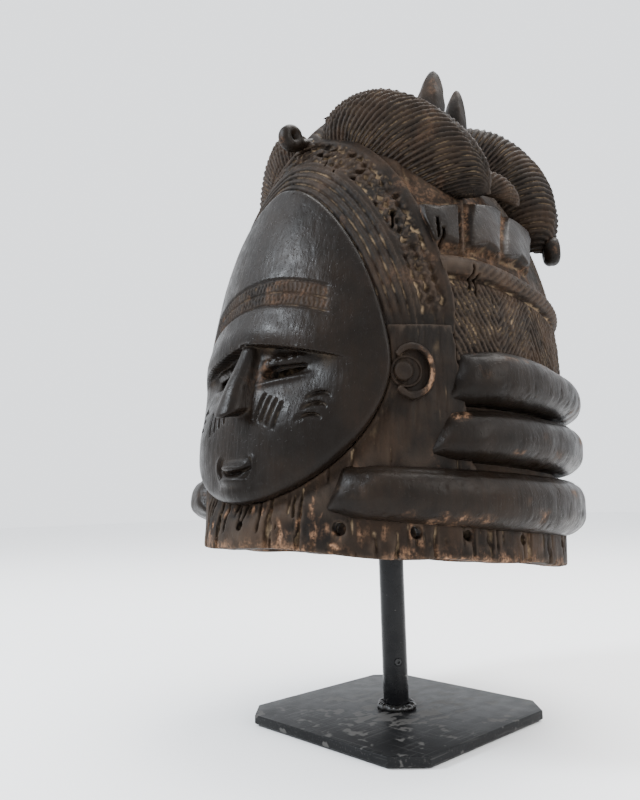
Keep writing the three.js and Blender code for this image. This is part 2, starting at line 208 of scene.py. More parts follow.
def helmet_radius(s, c, z):
    """Reach of the skin in the direction with sine s and cosine c from the front."""
    side, front, back = helmet_size(z)
    fore = (np.abs(s) / side) ** 2 + (np.abs(c) / front) ** 2
    aft = (np.abs(s) / side) ** 2.3 + (np.abs(c) / back) ** 2.3
    return np.where(c > 0, fore**-0.5, aft ** (-1 / 2.3))


def arc_radius(z):
    side, front, _ = helmet_size(z)
    return (side + front) / 2


class Spot:
    """Where points lie on the helmet: angle from the front, arc, height and distance out."""

    def __init__(self, x, y, z):
        self.x, self.y, self.z = x, y, z
        side = np.abs(x)
        reach = np.maximum(np.hypot(side, y - AXIS_Y), 1e-3)
        s, c = side / reach, -(y - AXIS_Y) / reach
        self.angle = np.degrees(np.arctan2(s, c))
        radius = helmet_radius(s, c, z)
        slope = (helmet_radius(s, c, z + 1) - helmet_radius(s, c, z - 1)) / 2
        self.out = (reach - radius) / np.sqrt(1 + slope * slope)
        self.arc = np.radians(self.angle) * arc_radius(z)


def face_edge(spot):
    """Distance outside the outline of the face, along the skin."""
    above = spot.z > FACE_WIDEST
    height = np.where(above, FACE_APEX - FACE_WIDEST, FACE_WIDEST - FACE_CHIN)
    power = np.where(above, 1.58, 1.85)
    a = np.maximum(spot.arc / FACE_HALF, 1e-3)
    b = np.maximum(np.abs(spot.z - FACE_WIDEST) / height, 1e-3)
    rho = (a**power + b**power) ** (1 / power)
    steep = rho ** (1 - power) * np.hypot(a ** (power - 1) / FACE_HALF, b ** (power - 1) / height)
    return (rho - 1) / steep


def rim_height(y):
    return RIM_HEIGHT - RIM_SLOPE * y


def below_rim(spot):
    wave = 0.9 * np.sin(spot.x / 17) + 0.7 * np.sin(spot.y / 11 + 1)
    return rim_height(spot.y) + wave - spot.z


def eye_slit(spot):
    """Negative inside the slot of each eye."""
    along = (np.abs(spot.x) - EYE_X) / EYE_HALF
    middle = EYE_HEIGHT + 2.4 * along**2 * (along > 0)
    half = 3.7 * np.clip(1 - along * along, 0, 1) ** 0.4 * (1 - 0.3 * along) + 0.1
    slit = np.maximum(np.abs(spot.z - middle) - half, (np.abs(along) - 1) * 15)
    return np.where(spot.y < -60, slit, 50)


def rim_holes(spot):
    """Negative inside the lashing holes round the lower edge."""
    height = spot.z - rim_height(spot.y) - HOLE_LIFT
    reach = np.radians(1) * 125
    nearest = np.full(np.shape(spot.x), 50, np.float32)
    for angle, radius in RIM_HOLES:
        nearest = np.minimum(nearest, np.hypot((spot.angle - angle) * reach, height) - radius)
    return nearest


# ------------------------------------------------------------------ relief of each stretch of skin


def hand(spot, amount=0.45):
    """The gentle unevenness of a blade's work."""
    return amount * (
        noise(spot.x / 17, spot.y / 17, spot.z / 26, 1)
        + 0.5 * noise(spot.x / 6, spot.y / 6, spot.z / 11, 2)
    )


def brow_height(side):
    return 148.5 - 0.15 * side - 0.0012 * side**2


def scar_height(spot):
    """Height that follows the brow's scar band as it bows down to each side."""
    return spot.z + 13 * np.clip(spot.angle / SCAR_REACH, 0, 1.2) ** 2


def face_relief(spot):
    """Cheeks, brow, lids, lips and the cuts of the face."""
    side, z = np.abs(spot.x), spot.z
    relief = 4.5 + 0.35 * hand(spot)
    # cheeks swell between the eyes and the jaw, and the chin stands forward
    relief += 3.4 * np.exp(-(((side - 44) / 26) ** 2) - ((z - 90) / 22) ** 2)
    relief += 3.0 * np.exp(-((side / 15) ** 2) - ((z - 55) / 7) ** 2)
    # eye hollows under the ledge of the brow
    drop = brow_height(side) - z
    depth = 9.5 * (1 - smooth(34, 80, side)) * (1 - 0.35 * bell(side, 12))
    relief -= depth * smooth(-0.3, 1.2, drop) * np.exp(-((np.maximum(drop, 0) / 27) ** 2))
    relief += 2.4 * bell(drop + 8, 11) * (1 - smooth(55, 84, side))
    # lids
    across = ((side - EYE_X - 1) / 18) ** 4
    relief += 3.2 * np.exp(-across - ((z - 135.0 - 0.05 * (side - 30)) / 3.6) ** 2)
    relief += 1.8 * np.exp(-across - ((z - 122.4 - 0.08 * (side - 30)) / 2.2) ** 2)
    lid = np.exp(-across - ((z - 136) / 4) ** 2)
    relief += 1.1 * lid * noise(spot.x / 2.0, spot.y / 9, z / 1.5, 3)
    # mouth: two small lips with a crease that turns up at each end
    lip = np.clip(1 - (side / 12.5) ** 2, 0, 1) ** 0.5
    relief += 4.6 * lip * bell(z - 69.8, 2.9) + 4.2 * lip * bell(z - 62.4, 3.3)
    line = 66.2 + 0.018 * side**2
    relief -= 3.4 * bell(z - line, 1.0) * (1 - smooth(12, 17, side))
    curl = np.hypot(side - 8.5, z - 71) - 7.2
    relief -= 1.6 * bell(curl, 1.2) * smooth(9, 12, side) * (1 - smooth(74, 78, z))
    relief += 1.2 * bell(curl - 2.6, 1.8) * smooth(9, 13, side) * (1 - smooth(74, 80, z))
    # band of notches across the brow
    bend = scar_height(spot)
    reach = 1 - smooth(SCAR_REACH - 2.5, SCAR_REACH, spot.angle)
    for line in SCAR_LINES:
        relief -= 1.3 * bell(bend - line, 0.8) * reach
    notch = np.abs(np.sin(np.pi * spot.arc / 3.4 + 0.5 * np.sin(z))) ** 0.6  # wavering strokes
    rows = smooth(174, 175, bend) * (1 - smooth(188.4, 189.4, bend)) * reach
    rows *= smooth(0.8, 1.8, np.abs(bend - SCAR_LINES[1]))
    relief += rows * (1.3 * notch - 1.2)
    # slanted cuts under each eye, and three crescents on each cheek
    for place in range(4):
        lift = z - (106.5 - 2.2 * place)
        centre = 17.9 + 5.3 * place + lift * (0.28 - 0.03 * place)
        relief -= 2.0 * bell(side - centre, 0.9) * (1 - smooth(6.5, 9, np.abs(lift)))
    for top, middle in CHEEK_CRESCENTS:
        arch = top - 0.055 * (side - middle) ** 2
        across = np.clip(1 - ((side - middle) / 7) ** 2, 0, 1)
        above = z - arch
        relief -= 2.4 * across**0.5 * smooth(-3.6, -0.1, above) * (1 - smooth(-0.1, 0.5, above))
    return relief


def nose(spot, skin):
    """A long thin nose with a flat ridge and an undercut foot."""
    side, z = np.abs(spot.x), spot.z
    down = np.clip((NOSE_TOP - 1 - z) / 46, 0, 1)
    half = 6.4 + 4.2 * down**1.2
    reach = 5.5 + 9.5 * down**0.8 - 0.03 * side**2
    foot = NOSE_FOOT - 0.16 * (spot.out - 8) + 0.03 * side**2
    body = soft_max(skin - reach, side - half + 0.08 * np.maximum(skin, 0), 4.0)
    body = soft_max(body, foot - z, 2)
    return soft_max(body, z - NOSE_TOP, 5)


def hairband_relief(spot, edge):
    """Fine combed strands that follow the face's outline."""
    ridge = ridges(edge / 5, 0.7)
    strand = noise(spot.arc / 1.5, spot.z / 6, edge / 3, 4)
    shown = smooth(BAND_FOOT, BAND_FOOT + BAND_RISE, spot.z)
    return (4.4 + 2.2 * (ridge - 1) + 0.25 * strand) * shown - BAND_SINK + 0.3 * hand(spot)


def chip_relief(spot, edge):
    """Rough chip carving between the hairband and a smooth outer fillet."""
    warp = 2.4 * noise(spot.arc / 9, spot.z / 9, spot.y * 0, 5)
    a, b = (edge + warp) / 6.2, (spot.z - 0.5 * spot.arc) / 8.5
    cell_a = np.floor(a)
    b = b + 0.5 * np.mod(cell_a, 2)
    cell_b = np.floor(b)
    pa, pb = a - cell_a, b - cell_b
    whole_a, whole_b = cell_a.astype(np.int32), cell_b.astype(np.int32)
    tilt = lattice(whole_a, whole_b, whole_a * 0, 6)
    wedge = np.clip(1 - np.abs(pa - 0.5) * 2.2 - np.abs(pb - 0.5) * (1.2 + 0.7 * tilt), 0, 1)
    chips = 4.6 * wedge**0.8 * (0.62 + 0.38 * tilt)
    rough = 1.1 * noise(spot.arc / 3.1, spot.z / 3.1, spot.y / 3.1, 7)
    rough += 0.6 * noise(spot.arc / 1.5, spot.z / 1.7, spot.y / 3, 8)
    end = HAIRBAND + CHIP_BAND - 5
    inside = smooth(HAIRBAND + 1, HAIRBAND + 3, edge) * (1 - smooth(end - 2, end, edge))
    fillet = smooth(end - 1, end + 1, edge)
    shown = smooth(BAND_FOOT, BAND_FOOT + BAND_RISE, spot.z)
    return (4.2 - inside * (0.6 + chips - rough) + 0.8 * fillet) * shown - BAND_SINK + 0.3 * hand(spot)


def panel_relief(spot):
    """Three raised blocks with flat bevelled faces, between narrow upright posts."""
    top = 31.5 + 13 * np.clip((spot.angle - 68) / 30, 0, 1)
    rise = spot.z - PANEL_FOOT
    first = PANEL_STARTS[0] - 0.2
    angle = first + (spot.angle - first) * (1 - 0.31 * np.clip(rise / 36, 0, 1.3))
    relief = np.full(np.shape(rise), -1.2, np.float32)
    reach = np.radians(1) * 110
    row = smooth(-3, -1, rise) * (1 - smooth(top + 2, top + 6, rise))
    for start, span in zip(PANEL_STARTS, PANEL_SPANS):
        across = (angle - start - span / 2) * reach
        half = span / 2 * reach
        inset = np.minimum(half - np.abs(across), np.minimum(rise, top - rise))
        lower = 1.5 * (rise - 1.5 + 0.3 * np.abs(across))
        crown = np.minimum(np.minimum(inset * 2.4, lower), 7.6 - 0.009 * across**2)
        relief = np.maximum(relief, np.where(inset > 0, np.minimum(crown, 7.4), -1.2))
        post = (angle - start - span - 1.5) * reach
        ridge = 3.8 * bell(post - 0.5, 1.6)
        relief = np.maximum(relief, ridge * row - 1.2)
    return relief


def side_relief(spot):
    """Panels, roped moulding and combed hair from the face round to the nape."""
    z, angle = spot.z, spot.angle
    droop = np.clip((angle - 60) / 120, 0, 1)
    relief = 0.5 * hand(spot)
    relief += panel_relief(spot) * smooth(58, 60, angle) * (1 - smooth(128, 132, angle))
    # combed hair behind the panels
    comb = ridges((spot.arc + 0.25 * z) / 3.4, 0.8)
    behind = smooth(120, 130, angle) * smooth(186 - 8 * droop, 190, z)
    relief += behind * (2.0 * comb - 1.0)
    # roped moulding under the panels
    middle = MOULDING - MOULDING_DROP * smooth(0, 1, droop) - 2.0 * smooth(60, 66, angle)
    off = z - middle
    rope = ridges((spot.arc - 0.9 * off) / 6.0, 0.7)
    twist = smooth(74, 86, angle)
    bead = np.sqrt(np.clip(1 - (off / 7.0) ** 2, 0, 1))
    relief = np.where(np.abs(off) < 7.0, bead * (5.4 - twist * 1.5 * (1 - rope)) - 0.6, relief)
    relief -= 1.6 * bell(off + 8.0, 1.2) + 1.2 * bell(off - 8.0, 1.0)
    # slanted combing between the moulding and the highest roll, turning back on itself
    under = 1 - smooth(-11, -9, off)
    fold = np.abs(np.mod(spot.arc + 18, 76) - 38)
    lines = ridges((fold * 0.80 - z * 0.55) / 3.3, 0.7)
    lines = lines + 0.25 * noise(spot.arc / 2, z / 5, spot.y / 9, 9)
    relief += under * smooth(61, 65, angle) * (2.4 * lines - 1.7)
    # parting down the nape
    relief -= 1.6 * bell(np.abs(spot.x), 1.6) * (spot.y > 0)
    return relief


def cracks(spot):
    """Upright splits and flaked stretches in the dry lower edge; 0 sound to 1 open."""
    split = noise(spot.arc / 2.3, spot.z / 24, spot.x / 300, 11)
    split = split + 0.5 * noise(spot.arc / 1.2, spot.z / 12, spot.x / 300, 12)
    wide = noise(spot.arc / 9, spot.z / 30, spot.x / 300, 13)
    return smooth(0.42, 0.78, split + 0.45 * wide)


def collar_relief(spot, edge):
    """The neck with its cracks, and the worn lower edge."""
    relief = 0.6 * hand(spot, 0.6)
    low = 1 - smooth(52, 92, spot.z)
    front = 1 - 0.35 * smooth(35, 60, spot.angle)
    relief -= 3.0 * cracks(spot) * low * front
    relief += 2.0 * bell(spot.z - rim_height(spot.y) - 3, 9) * (1 - smooth(20, 40, spot.angle))
    # the neck is cut back under the jaw
    relief -= 3.5 * bell(edge - 2, 7) * (1 - smooth(100, 125, spot.z))
    # fine upright scratches round the ear
    scratch = noise(spot.arc / 1.3, spot.z / 14, spot.x / 90, 14)
    relief += 0.35 * scratch * smooth(70, 100, spot.z)
    # notch broken out of the lower edge, and small plugged nail marks
    left = np.where(spot.x > 0, 1.0, 0.0)
    notch = 2.2 - 0.22 * (spot.z - rim_height(spot.y))
    relief -= 7 * left * smooth(0, 1.5, notch - np.abs((spot.angle - NOTCH_ANGLE) * 2.2)) * (notch > 0)
    for angle, height in NAIL_MARKS:
        mark = np.hypot((spot.angle - angle) * 2.2, (spot.z - rim_height(spot.y) - height) / 1.5)
        relief -= 1.3 * left * bell(mark, 1.8)
    return relief


# ------------------------------------------------------------------ whole fields, negative inside wood


def openings(spot, field):
    """The field with the eyes, the lashing holes and all below the rim cut away."""
    field = np.maximum(field, -eye_slit(spot))
    field = np.maximum(field, -rim_holes(spot))
    return np.maximum(field, below_rim(spot))


def face_field(x, y, z):
    spot = Spot(x, y, z)
    edge = face_edge(spot)
    skin = spot.out - face_relief(spot)
    body = soft_min(skin, nose(spot, skin), 1.6)
    body = soft_max(body, edge, 3.4 + 3.6 * (1 - smooth(70, 130, z)))
    body = np.maximum(body, -(spot.out + SLAB))
    return np.maximum(soft_max(body, -eye_slit(spot), 1.0), -(z - 40))


def hairband_field(x, y, z):
    spot = Spot(x, y, z)
    edge = face_edge(spot)
    body = spot.out - hairband_relief(spot, edge)
    body = np.maximum(soft_max(body, edge - HAIRBAND, 1.2), np.maximum(-3 - edge, BAND_FOOT - z))
    return np.maximum(body, -(spot.out + SLAB))


def chip_band_field(x, y, z):
    spot = Spot(x, y, z)
    edge = face_edge(spot)
    body = spot.out - chip_relief(spot, edge)
    body = soft_max(body, edge - HAIRBAND - CHIP_BAND, 1.2)
    body = np.maximum(body, np.maximum(HAIRBAND - 2 - edge, BAND_FOOT - z))
    return np.maximum(np.maximum(body, -(spot.out + SLAB)), -slots(spot))


def slots(spot):
    """Negative inside the short dark splits in the grain on the mask's left side."""
    nearest = np.full(np.shape(spot.x), 50, np.float32)
    for angle, height, half in SLOTS:
        off = np.maximum(np.abs(spot.z - height) - half, 0)
        lean = 0.12 * (spot.z - height)
        split = np.hypot((spot.angle - angle) * 1.9 - lean, off * 0.6) - 0.9
        nearest = np.minimum(nearest, np.where(spot.x > 0, split, 50))
    return np.maximum(nearest, -(spot.out + 5))


def side_field(x, y, z):
    spot = Spot(x, y, z)
    edge = face_edge(spot)
    body = spot.out - side_relief(spot)
    region = np.maximum(HAIRBAND + CHIP_BAND - 2 - edge, np.maximum(SIDE_FOOT - z, z - SIDE_TOP))
    body = np.maximum(np.maximum(body, region), -(spot.out + SLAB))
    return np.maximum(body, -slots(spot))


def collar_field(x, y, z):
    spot = Spot(x, y, z)
    edge = face_edge(spot)
    body = spot.out - collar_relief(spot, edge)
    behind = smooth(64, 74, spot.angle)
    body = soft_max(body, -edge, 2.0)
    body = np.maximum(body, z - (BAND_FOOT + BAND_RISE - NECK_OVERLAP * behind))
    back = SLAB + (WALL + 0.5 - SLAB) * (1 - smooth(28, 32, z))
    body = np.maximum(body, -(spot.out + back))
    return soft_max(openings(spot, body), below_rim(spot), 2.5)


def lining_field(x, y, z):
    spot = Spot(x, y, z)
    gouge = 0.7 * np.abs(np.sin(spot.arc / 7 + 0.6 * noise(spot.arc / 20, z / 30, y / 40, 15)))
    gouge = gouge * (0.6 + 0.4 * noise(spot.arc / 12, z / 22, y / 50, 16))
    body = np.maximum(spot.out + SLAB - 2, -(spot.out + WALL - 0.8 * gouge))
    body = np.maximum(body, 27 - z)
    body = np.maximum(body, z - (TOP - 10))
    ceiling = np.maximum(CEILING - z, spot.out + SLAB - 2)
    body = np.minimum(body, ceiling)
    body = np.maximum(body, -eye_slit(spot))
    return np.maximum(body, -rim_holes(spot))


def crown_field(x, y, z):
    spot = Spot(x, y, z)
    comb = ridges((y + 0.4 * np.abs(x)) / 5.5, 0.8)
    body = spot.out - 2.0 * comb - 3.0 * bell(x, 14)
    body = np.maximum(body, z - TOP + 0.5)
    return np.maximum(np.maximum(body, CROWN_FOOT - z), -(spot.out + SLAB + 6))


def roll_field(name):
    tip, lean, low, high = ROLLS[name]

    def field(x, y, z):
        spot = Spot(x, y, z)
        nape = np.sin(np.pi / 2 * np.clip((spot.angle - tip) / (180 - tip), 0, 1))
        bottom = low[0] + (low[1] - low[0]) * nape
        top = high[0] + (high[1] - high[0]) * nape
        if name == "high":
            top = top + 5 * bell(spot.angle - 92, 28)
        half, middle = (top - bottom) / 2, (top + bottom) / 2
        share = (z - bottom) / (top - bottom)
        start = (tip + lean * np.clip(share, 0, 1)) - 0.5
        ahead = (start - spot.angle) * np.radians(1) * 122
        swell = 0.45 + 0.55 * smooth(0, 26, -ahead)
        reach = ROLL_REACH * swell + 0.9 * hand(spot) - 1.0 * bell(share - 0.05, 0.12)
        radius = np.minimum(half * 0.92, 15)
        over = np.maximum(np.abs(z - middle) - (half - radius), 0)
        body = np.hypot(over, np.maximum(spot.out - (reach - radius), 0)) - radius
        body = soft_max(body, ahead * 0.8 + 0.55 * spot.out, 3)
        # the fine groove that outlines each roll's upper edge
        line = np.abs(z - (top - 3.4))
        body = body + 0.55 * bell(line, 0.8) * smooth(-1, 3, spot.out)
        pits = noise(spot.arc / 3.5, z / 6, spot.out / 4, 17)
        pits = pits + 0.6 * noise(spot.arc / 1.6, z / 4, spot.out / 3, 18)
        patch = smooth(0.0, 0.5, noise(spot.arc / 28, z / 16, y * 0, 19) + 0.5 * bell(share - 0.25, 0.3))
        body = body + 0.55 * smooth(0.35, 0.9, pits) * patch
        return np.maximum(body, -(spot.out + SLAB))

    return field


# ------------------------------------------------------------------ hair lobes, curls, horns and ears


class Spine:
    """A bent line through three control points, with the nearest place on it for any point."""

    def __init__(self, start, bend, end, steps=28):
        t = np.linspace(0, 1, steps)[:, None]
        controls = [np.array(p, float) for p in (start, bend, end)]
        self.points = (1 - t) ** 2 * controls[0] + 2 * t * (1 - t) * controls[1] + t**2 * controls[2]
        legs = np.diff(self.points, axis=0)
        self.lengths = np.linalg.norm(legs, axis=1)
        self.travel = np.concatenate([[0], np.cumsum(self.lengths)])
        self.length = self.travel[-1]
        ways = np.gradient(self.points, axis=0)
        self.ways = ways / np.linalg.norm(ways, axis=1, keepdims=True)

    def nearest(self, x, y, z):
        """Travel along the line, and the offset from it, of each point's nearest place."""
        best = np.full(np.shape(x), 1e12, np.float32)
        travel = np.zeros(np.shape(x), np.float32)
        offset = [np.zeros(np.shape(x), np.float32) for _ in range(3)]
        for i, length in enumerate(self.lengths):
            a, leg = self.points[i], (self.points[i + 1] - self.points[i]) / length
            rel = (x - a[0], y - a[1], z - a[2])
            t = np.clip(rel[0] * leg[0] + rel[1] * leg[1] + rel[2] * leg[2], 0, length)
            off = [r - t * w for r, w in zip(rel, leg)]
            gap = off[0] ** 2 + off[1] ** 2 + off[2] ** 2
            closer = gap < best
            best = np.where(closer, gap, best)
            travel = np.where(closer, self.travel[i] + t, travel)
            for k in range(3):
                offset[k] = np.where(closer, off[k], offset[k])
        return travel, offset

    def way(self, travel):
        return [np.interp(travel, self.travel, self.ways[:, k]) for k in range(3)]


def lobe_field(name, side):
    start, bend, end, high, wide, slant, crest, blunt, fuller = LOBES[name]
    spine = Spine(start, bend, end)

    def field(x, y, z):
        x = x * side
        travel, off = spine.nearest(x, y, z)
        t = travel / spine.length
        way = spine.way(travel)
        # up and side directions square to the spine
        level = np.maximum(np.sqrt(1 - way[2] ** 2), 0.2)
        up = [-way[2] * way[0] / level, -way[2] * way[1] / level, level]
        across = [way[1] * up[2] - way[2] * up[1], way[2] * up[0] - way[0] * up[2],
                  way[0] * up[1] - way[1] * up[0]]
        u = sum(o * w for o, w in zip(off, up))
        v = sum(o * w for o, w in zip(off, across))
        early = np.clip(t / blunt, 0, 1)
        late = np.clip((t - blunt) / (1 - blunt), 0, 1)
        size = np.sqrt(np.clip(1 - (1 - early) ** 2, 0, 1)) * (1 - late**2.2) ** 0.62
        size = np.maximum(size, 0.1)
        a, b = high * size, wide * size * np.where(v < 0, fuller, 1.0)
        rho = np.sqrt((u / a) ** 2 + (v / b) ** 2) + 1e-6
        steep = np.sqrt((u / a**2) ** 2 + (v / b**2) ** 2) / rho + 1e-6
        body = np.clip((rho - 1) / steep, -30, 60)
        lag = sum(o * w for o, w in zip(off, way))
        body = np.hypot(np.maximum(body, 0), lag) + np.minimum(body, 0)
        turn = np.arctan2(u / a, v / b)
        bow = np.abs(turn - crest + 0.5 * smooth(0.3, 1, t))
        phase = (travel + slant * 40 * bow) / HAIR_PITCH
        phase = phase + 0.22 * noise(x / 20, y / 20, z / 20, 21)
        ridge = ridges(phase, 0.62)
        strength = np.minimum(2.6 * (0.75 + 0.5 * bell(bow - 2.4, 0.9)), 0.3 * wide * size)
        parting = 1.4 * bell(bow * a * 0.5, 2.0)
        fine = 0.22 * noise(x / 2.5, y / 2.5, z / 5, 22)
        body = body + strength * (1 - ridge) + parting * smooth(0.12, 0.3, t) - fine
        body = body + 0.5 * noise(x / 14, y / 14, z / 14, 23)
        return np.clip(body, -40, 60)

    return field


def ring_field(centre, axis, radius, tube, stem=None):
    """A ring of round section about an axis, like a curled lock, with an optional stem."""
    axis = np.array(axis, float) / np.linalg.norm(axis)

    def field(x, y, z):
        rel = (x - centre[0], y - centre[1], z - centre[2])
        lift = sum(r * a for r, a in zip(rel, axis))
        flat = np.sqrt(np.maximum(sum(r * r for r in rel) - lift**2, 0))
        bumps = 0.35 * noise(x / 5, y / 5, z / 5, 31)
        body = np.hypot(flat - radius, lift * 0.82) - tube + bumps
        turn = np.arctan2(rel[2], rel[1])
        body = body + 0.7 * bell(lift, 0.8) * np.cos(turn * 0.5) ** 2
        if stem is not None:
            off = stem.nearest(x, y, z)[1]
            body = soft_min(body, np.sqrt(sum(o * o for o in off)) - tube * 0.9, 2.5)
        return body

    return field


def horn_field(foot, tip, half):
    foot, tip = np.array(foot, float), np.array(tip, float)
    length = np.linalg.norm(tip - foot)
    way = (tip - foot) / length

    def field(x, y, z):
        rel = (x - foot[0], y - foot[1], z - foot[2])
        t = np.clip(sum(r * w for r, w in zip(rel, way)) / length, 0, 1)
        off = [r - t * length * w for r, w in zip(rel, way)]
        size = half * np.clip(1 - t**3.2, 0, 1) ** 0.6 + 0.6
        flutes = 0.9 * np.abs(np.sin(np.arctan2(off[1], off[0]) * 3 + 0.02 * z))
        wobble = 0.5 * noise(x / 6, y / 6, z / 9, 33)
        return np.sqrt(off[0] ** 2 + (off[1] * 1.15) ** 2 + off[2] ** 2) - size + flutes + wobble

    return field


def ear_field(side):
    def field(x, y, z):
        spot = Spot(x * side, y, z)
        a = (spot.angle - EAR_ANGLE) * np.radians(1) * 122
        b = z - EAR_HEIGHT
        reach = np.hypot(a / 0.78, b)
        turn = np.degrees(np.arctan2(b, -a))
        ring = np.hypot((reach - EAR_RADIUS) * 0.9, spot.out - 2.4) - 2.0
        gap = 46 - np.abs(turn)
        ring = soft_max(ring, gap * 0.24, 1.2)
        lip = np.hypot((reach - 14.2) * 0.9, spot.out - 4.8 * smooth(60, 120, np.abs(turn))) - 1.35
        ring = soft_min(ring, soft_max(lip, gap * 0.24, 1.0), 1.6)
        knob = np.hypot(a + 5.5, b)
        boss = np.hypot(np.maximum(knob - 3.4, 0), np.maximum(spot.out - 1.6, 0)) - 2.6
        boss = np.maximum(boss, -4 - spot.out)
        saucer = np.hypot(np.hypot(a + 3.5, b) - 9.0, spot.out - 0.2) - 1.0
        body = soft_min(soft_min(ring, boss, 0.8), saucer, 1.2)
        return body + 0.25 * noise(x / 3, y / 3, z / 4, 35)

    return field


# ------------------------------------------------------------------ from a field to a mesh


def surface(field, low, high, step, flatten=0.0):
    """Points and faces of the closed surface where a field is zero, in millimetres."""
    low = np.array(low, np.float32)
    counts = np.ceil((np.array(high) - low) / (step * BLOCK)).astype(int)
    centres = [low[k] + (np.arange(counts[k]) * BLOCK + (BLOCK - 1) / 2) * step for k in range(3)]
    coarse = field(*(g.astype(np.float32) for g in np.meshgrid(*centres, indexing="ij")))
    far = np.float32(3 * step)
    reach = BLOCK * step * 0.87 * 1.7 + 3.5
    near = np.argwhere(np.abs(coarse) < reach)
    dense = np.where(coarse > 0, far, -far).astype(np.float32)
    dense = np.broadcast_to(dense[..., None, None, None], (*counts, BLOCK, BLOCK, BLOCK)).copy()
    steps = np.arange(BLOCK) * step
    inner = np.stack(np.meshgrid(steps, steps, steps, indexing="ij"), -1).reshape(-1, 3)
    for first in range(0, len(near), 2500):
        chosen = near[first : first + 2500]
        points = low + chosen[:, None, :] * (BLOCK * step) + inner[None]
        points = points.astype(np.float32)
        values = field(points[..., 0], points[..., 1], points[..., 2])
        values = np.clip(values, -far, far).reshape(-1, BLOCK, BLOCK, BLOCK)
        dense[chosen[:, 0], chosen[:, 1], chosen[:, 2]] = values
    values = dense.transpose(0, 3, 1, 4, 2, 5).reshape(counts * BLOCK)
    padded = np.full(np.array(values.shape) + 2, far, np.float32)
    padded[1:-1, 1:-1, 1:-1] = values
    grid = openvdb.FloatGrid(float(far))
    grid.copyFromArray(padded)
    points, triangles, quads = grid.convertToPolygons(0.0, flatten)
    return low + (points - 1) * step, triangles.astype(np.int64), quads.astype(np.int64)


def largest_body(points, triangles, quads):
    """The same surface without any loose chips."""
    pairs = [triangles[:, [0, 1]], triangles[:, [1, 2]]]
    pairs += [quads[:, [0, 1]], quads[:, [1, 2]], quads[:, [2, 3]]]
    a, b = np.concatenate(pairs).T
    label = np.arange(len(points))
    while True:
        least = np.minimum(label[a], label[b])
        fresh = label.copy()
        np.minimum.at(fresh, a, least)
        np.minimum.at(fresh, b, least)
        fresh = np.minimum(fresh, fresh[fresh])
        if (fresh == label).all():
            break
        label = fresh
    names, sizes = np.unique(label, return_counts=True)
    keep = label == names[np.argmax(sizes)]
    place = np.cumsum(keep) - 1
    triangles = place[triangles[keep[triangles[:, 0]]]]
    quads = place[quads[keep[quads[:, 0]]]]
    return points[keep], triangles, quads


def hollowness(points, triangles, quads, rounds):
    """How far each point lies below (+) or above (-) its surroundings, in millimetres."""
    corners = [triangles[:, [0, 1, 2]], quads[:, [0, 1, 2]], quads[:, [0, 2, 3]]]
    corners = np.concatenate(corners)
    ends = points[corners]
    normal = np.cross(ends[:, 1] - ends[:, 0], ends[:, 2] - ends[:, 0])
    normals = np.zeros_like(points)
    for k in range(3):
        np.add.at(normals, corners[:, k], normal)
    normals /= np.maximum(np.linalg.norm(normals, axis=1, keepdims=True), 1e-9)
    a = np.concatenate([corners[:, 0], corners[:, 1], corners[:, 2]])
    b = np.concatenate([corners[:, 1], corners[:, 2], corners[:, 0]])
    count = np.maximum(np.bincount(a, minlength=len(points)), 1)[:, None]
    relaxed = points.copy()
    for _ in range(rounds):
        total = np.stack([np.bincount(a, relaxed[b, k], len(points)) for k in range(3)], 1)
        relaxed = 0.5 * relaxed + 0.5 * total / count
    return ((relaxed - points) * normals).sum(1)


def add_mesh(name, points, triangles, quads, masks):
    """A mesh object in the row frame from mask points in millimetres, with paint masks."""
    mesh = bpy.data.meshes.new(name)
    mesh.vertices.add(len(points))
    placed = (points + np.array([0, 0, RIM])) * MM
    mesh.vertices.foreach_set("co", placed.astype(np.float32).ravel())
    loops = np.concatenate([triangles.ravel(), quads.ravel()])
    sizes = np.concatenate([np.full(len(triangles), 3), np.full(len(quads), 4)])
    starts = np.concatenate([[0], np.cumsum(sizes)[:-1]])
    mesh.loops.add(len(loops))
    mesh.loops.foreach_set("vertex_index", loops.astype(np.int32))
    mesh.polygons.add(len(sizes))
    mesh.polygons.foreach_set("loop_start", starts.astype(np.int32))
    mesh.update(calc_edges=True)
    mesh.polygons.foreach_set("use_smooth", np.ones(len(sizes), bool))
    for label, values in masks.items():
        layer = mesh.attributes.new(label, "FLOAT", "POINT")
        layer.data.foreach_set("value", np.clip(values, 0, 1).astype(np.float32))
    piece = bpy.data.objects.new(name, mesh)
    bpy.context.scene.collection.objects.link(piece)
    return piece


def carve(name, field, low, high, step, paint, flatten=0.0):
    """Cuts one wooden piece out of its field, paints it and hangs it on the mask's body."""
    settings = bpy.context.scene.carved_mask
    step = step * settings.coarseness * 1.0
    points, triangles, quads = surface(field, low, high, step, flatten)
    points, triangles, quads = largest_body(points, triangles, quads)
    ends = points[np.concatenate([triangles, quads[:, :3], quads[:, [0, 2, 3]]])]
    volume = (ends[:, 0] * np.cross(ends[:, 1], ends[:, 2])).sum() / 6
    if volume < 0:
        triangles, quads = triangles[:, ::-1], quads[:, ::-1]
    fine = hollowness(points, triangles, quads, 3)
    broad = hollowness(points, triangles, quads, 14)
    masks = {
        "recess": smooth(0.02, 0.45, fine * 0.6 + broad * 0.5),
        "raised": smooth(0.04, 0.5, -fine * 0.6 - broad * 0.5),
    }
    masks.update(paint(points[:, 0], points[:, 1], points[:, 2]))
    piece = add_mesh(name, points, triangles, quads, masks)
    piece.data.materials.append(bpy.data.materials["carved_wood"])
    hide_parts("mask")
    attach(piece, "mask")
    return piece


# ------------------------------------------------------------------ paint masks


def even(polish, wear=0.0):
    def paint(x, y, z):
        blotch = noise(x / 11, y / 11, z / 15, 41)
        return {"polish": np.full(len(x), polish), "wear": wear * smooth(0.25, 0.8, blotch)}

    return paint


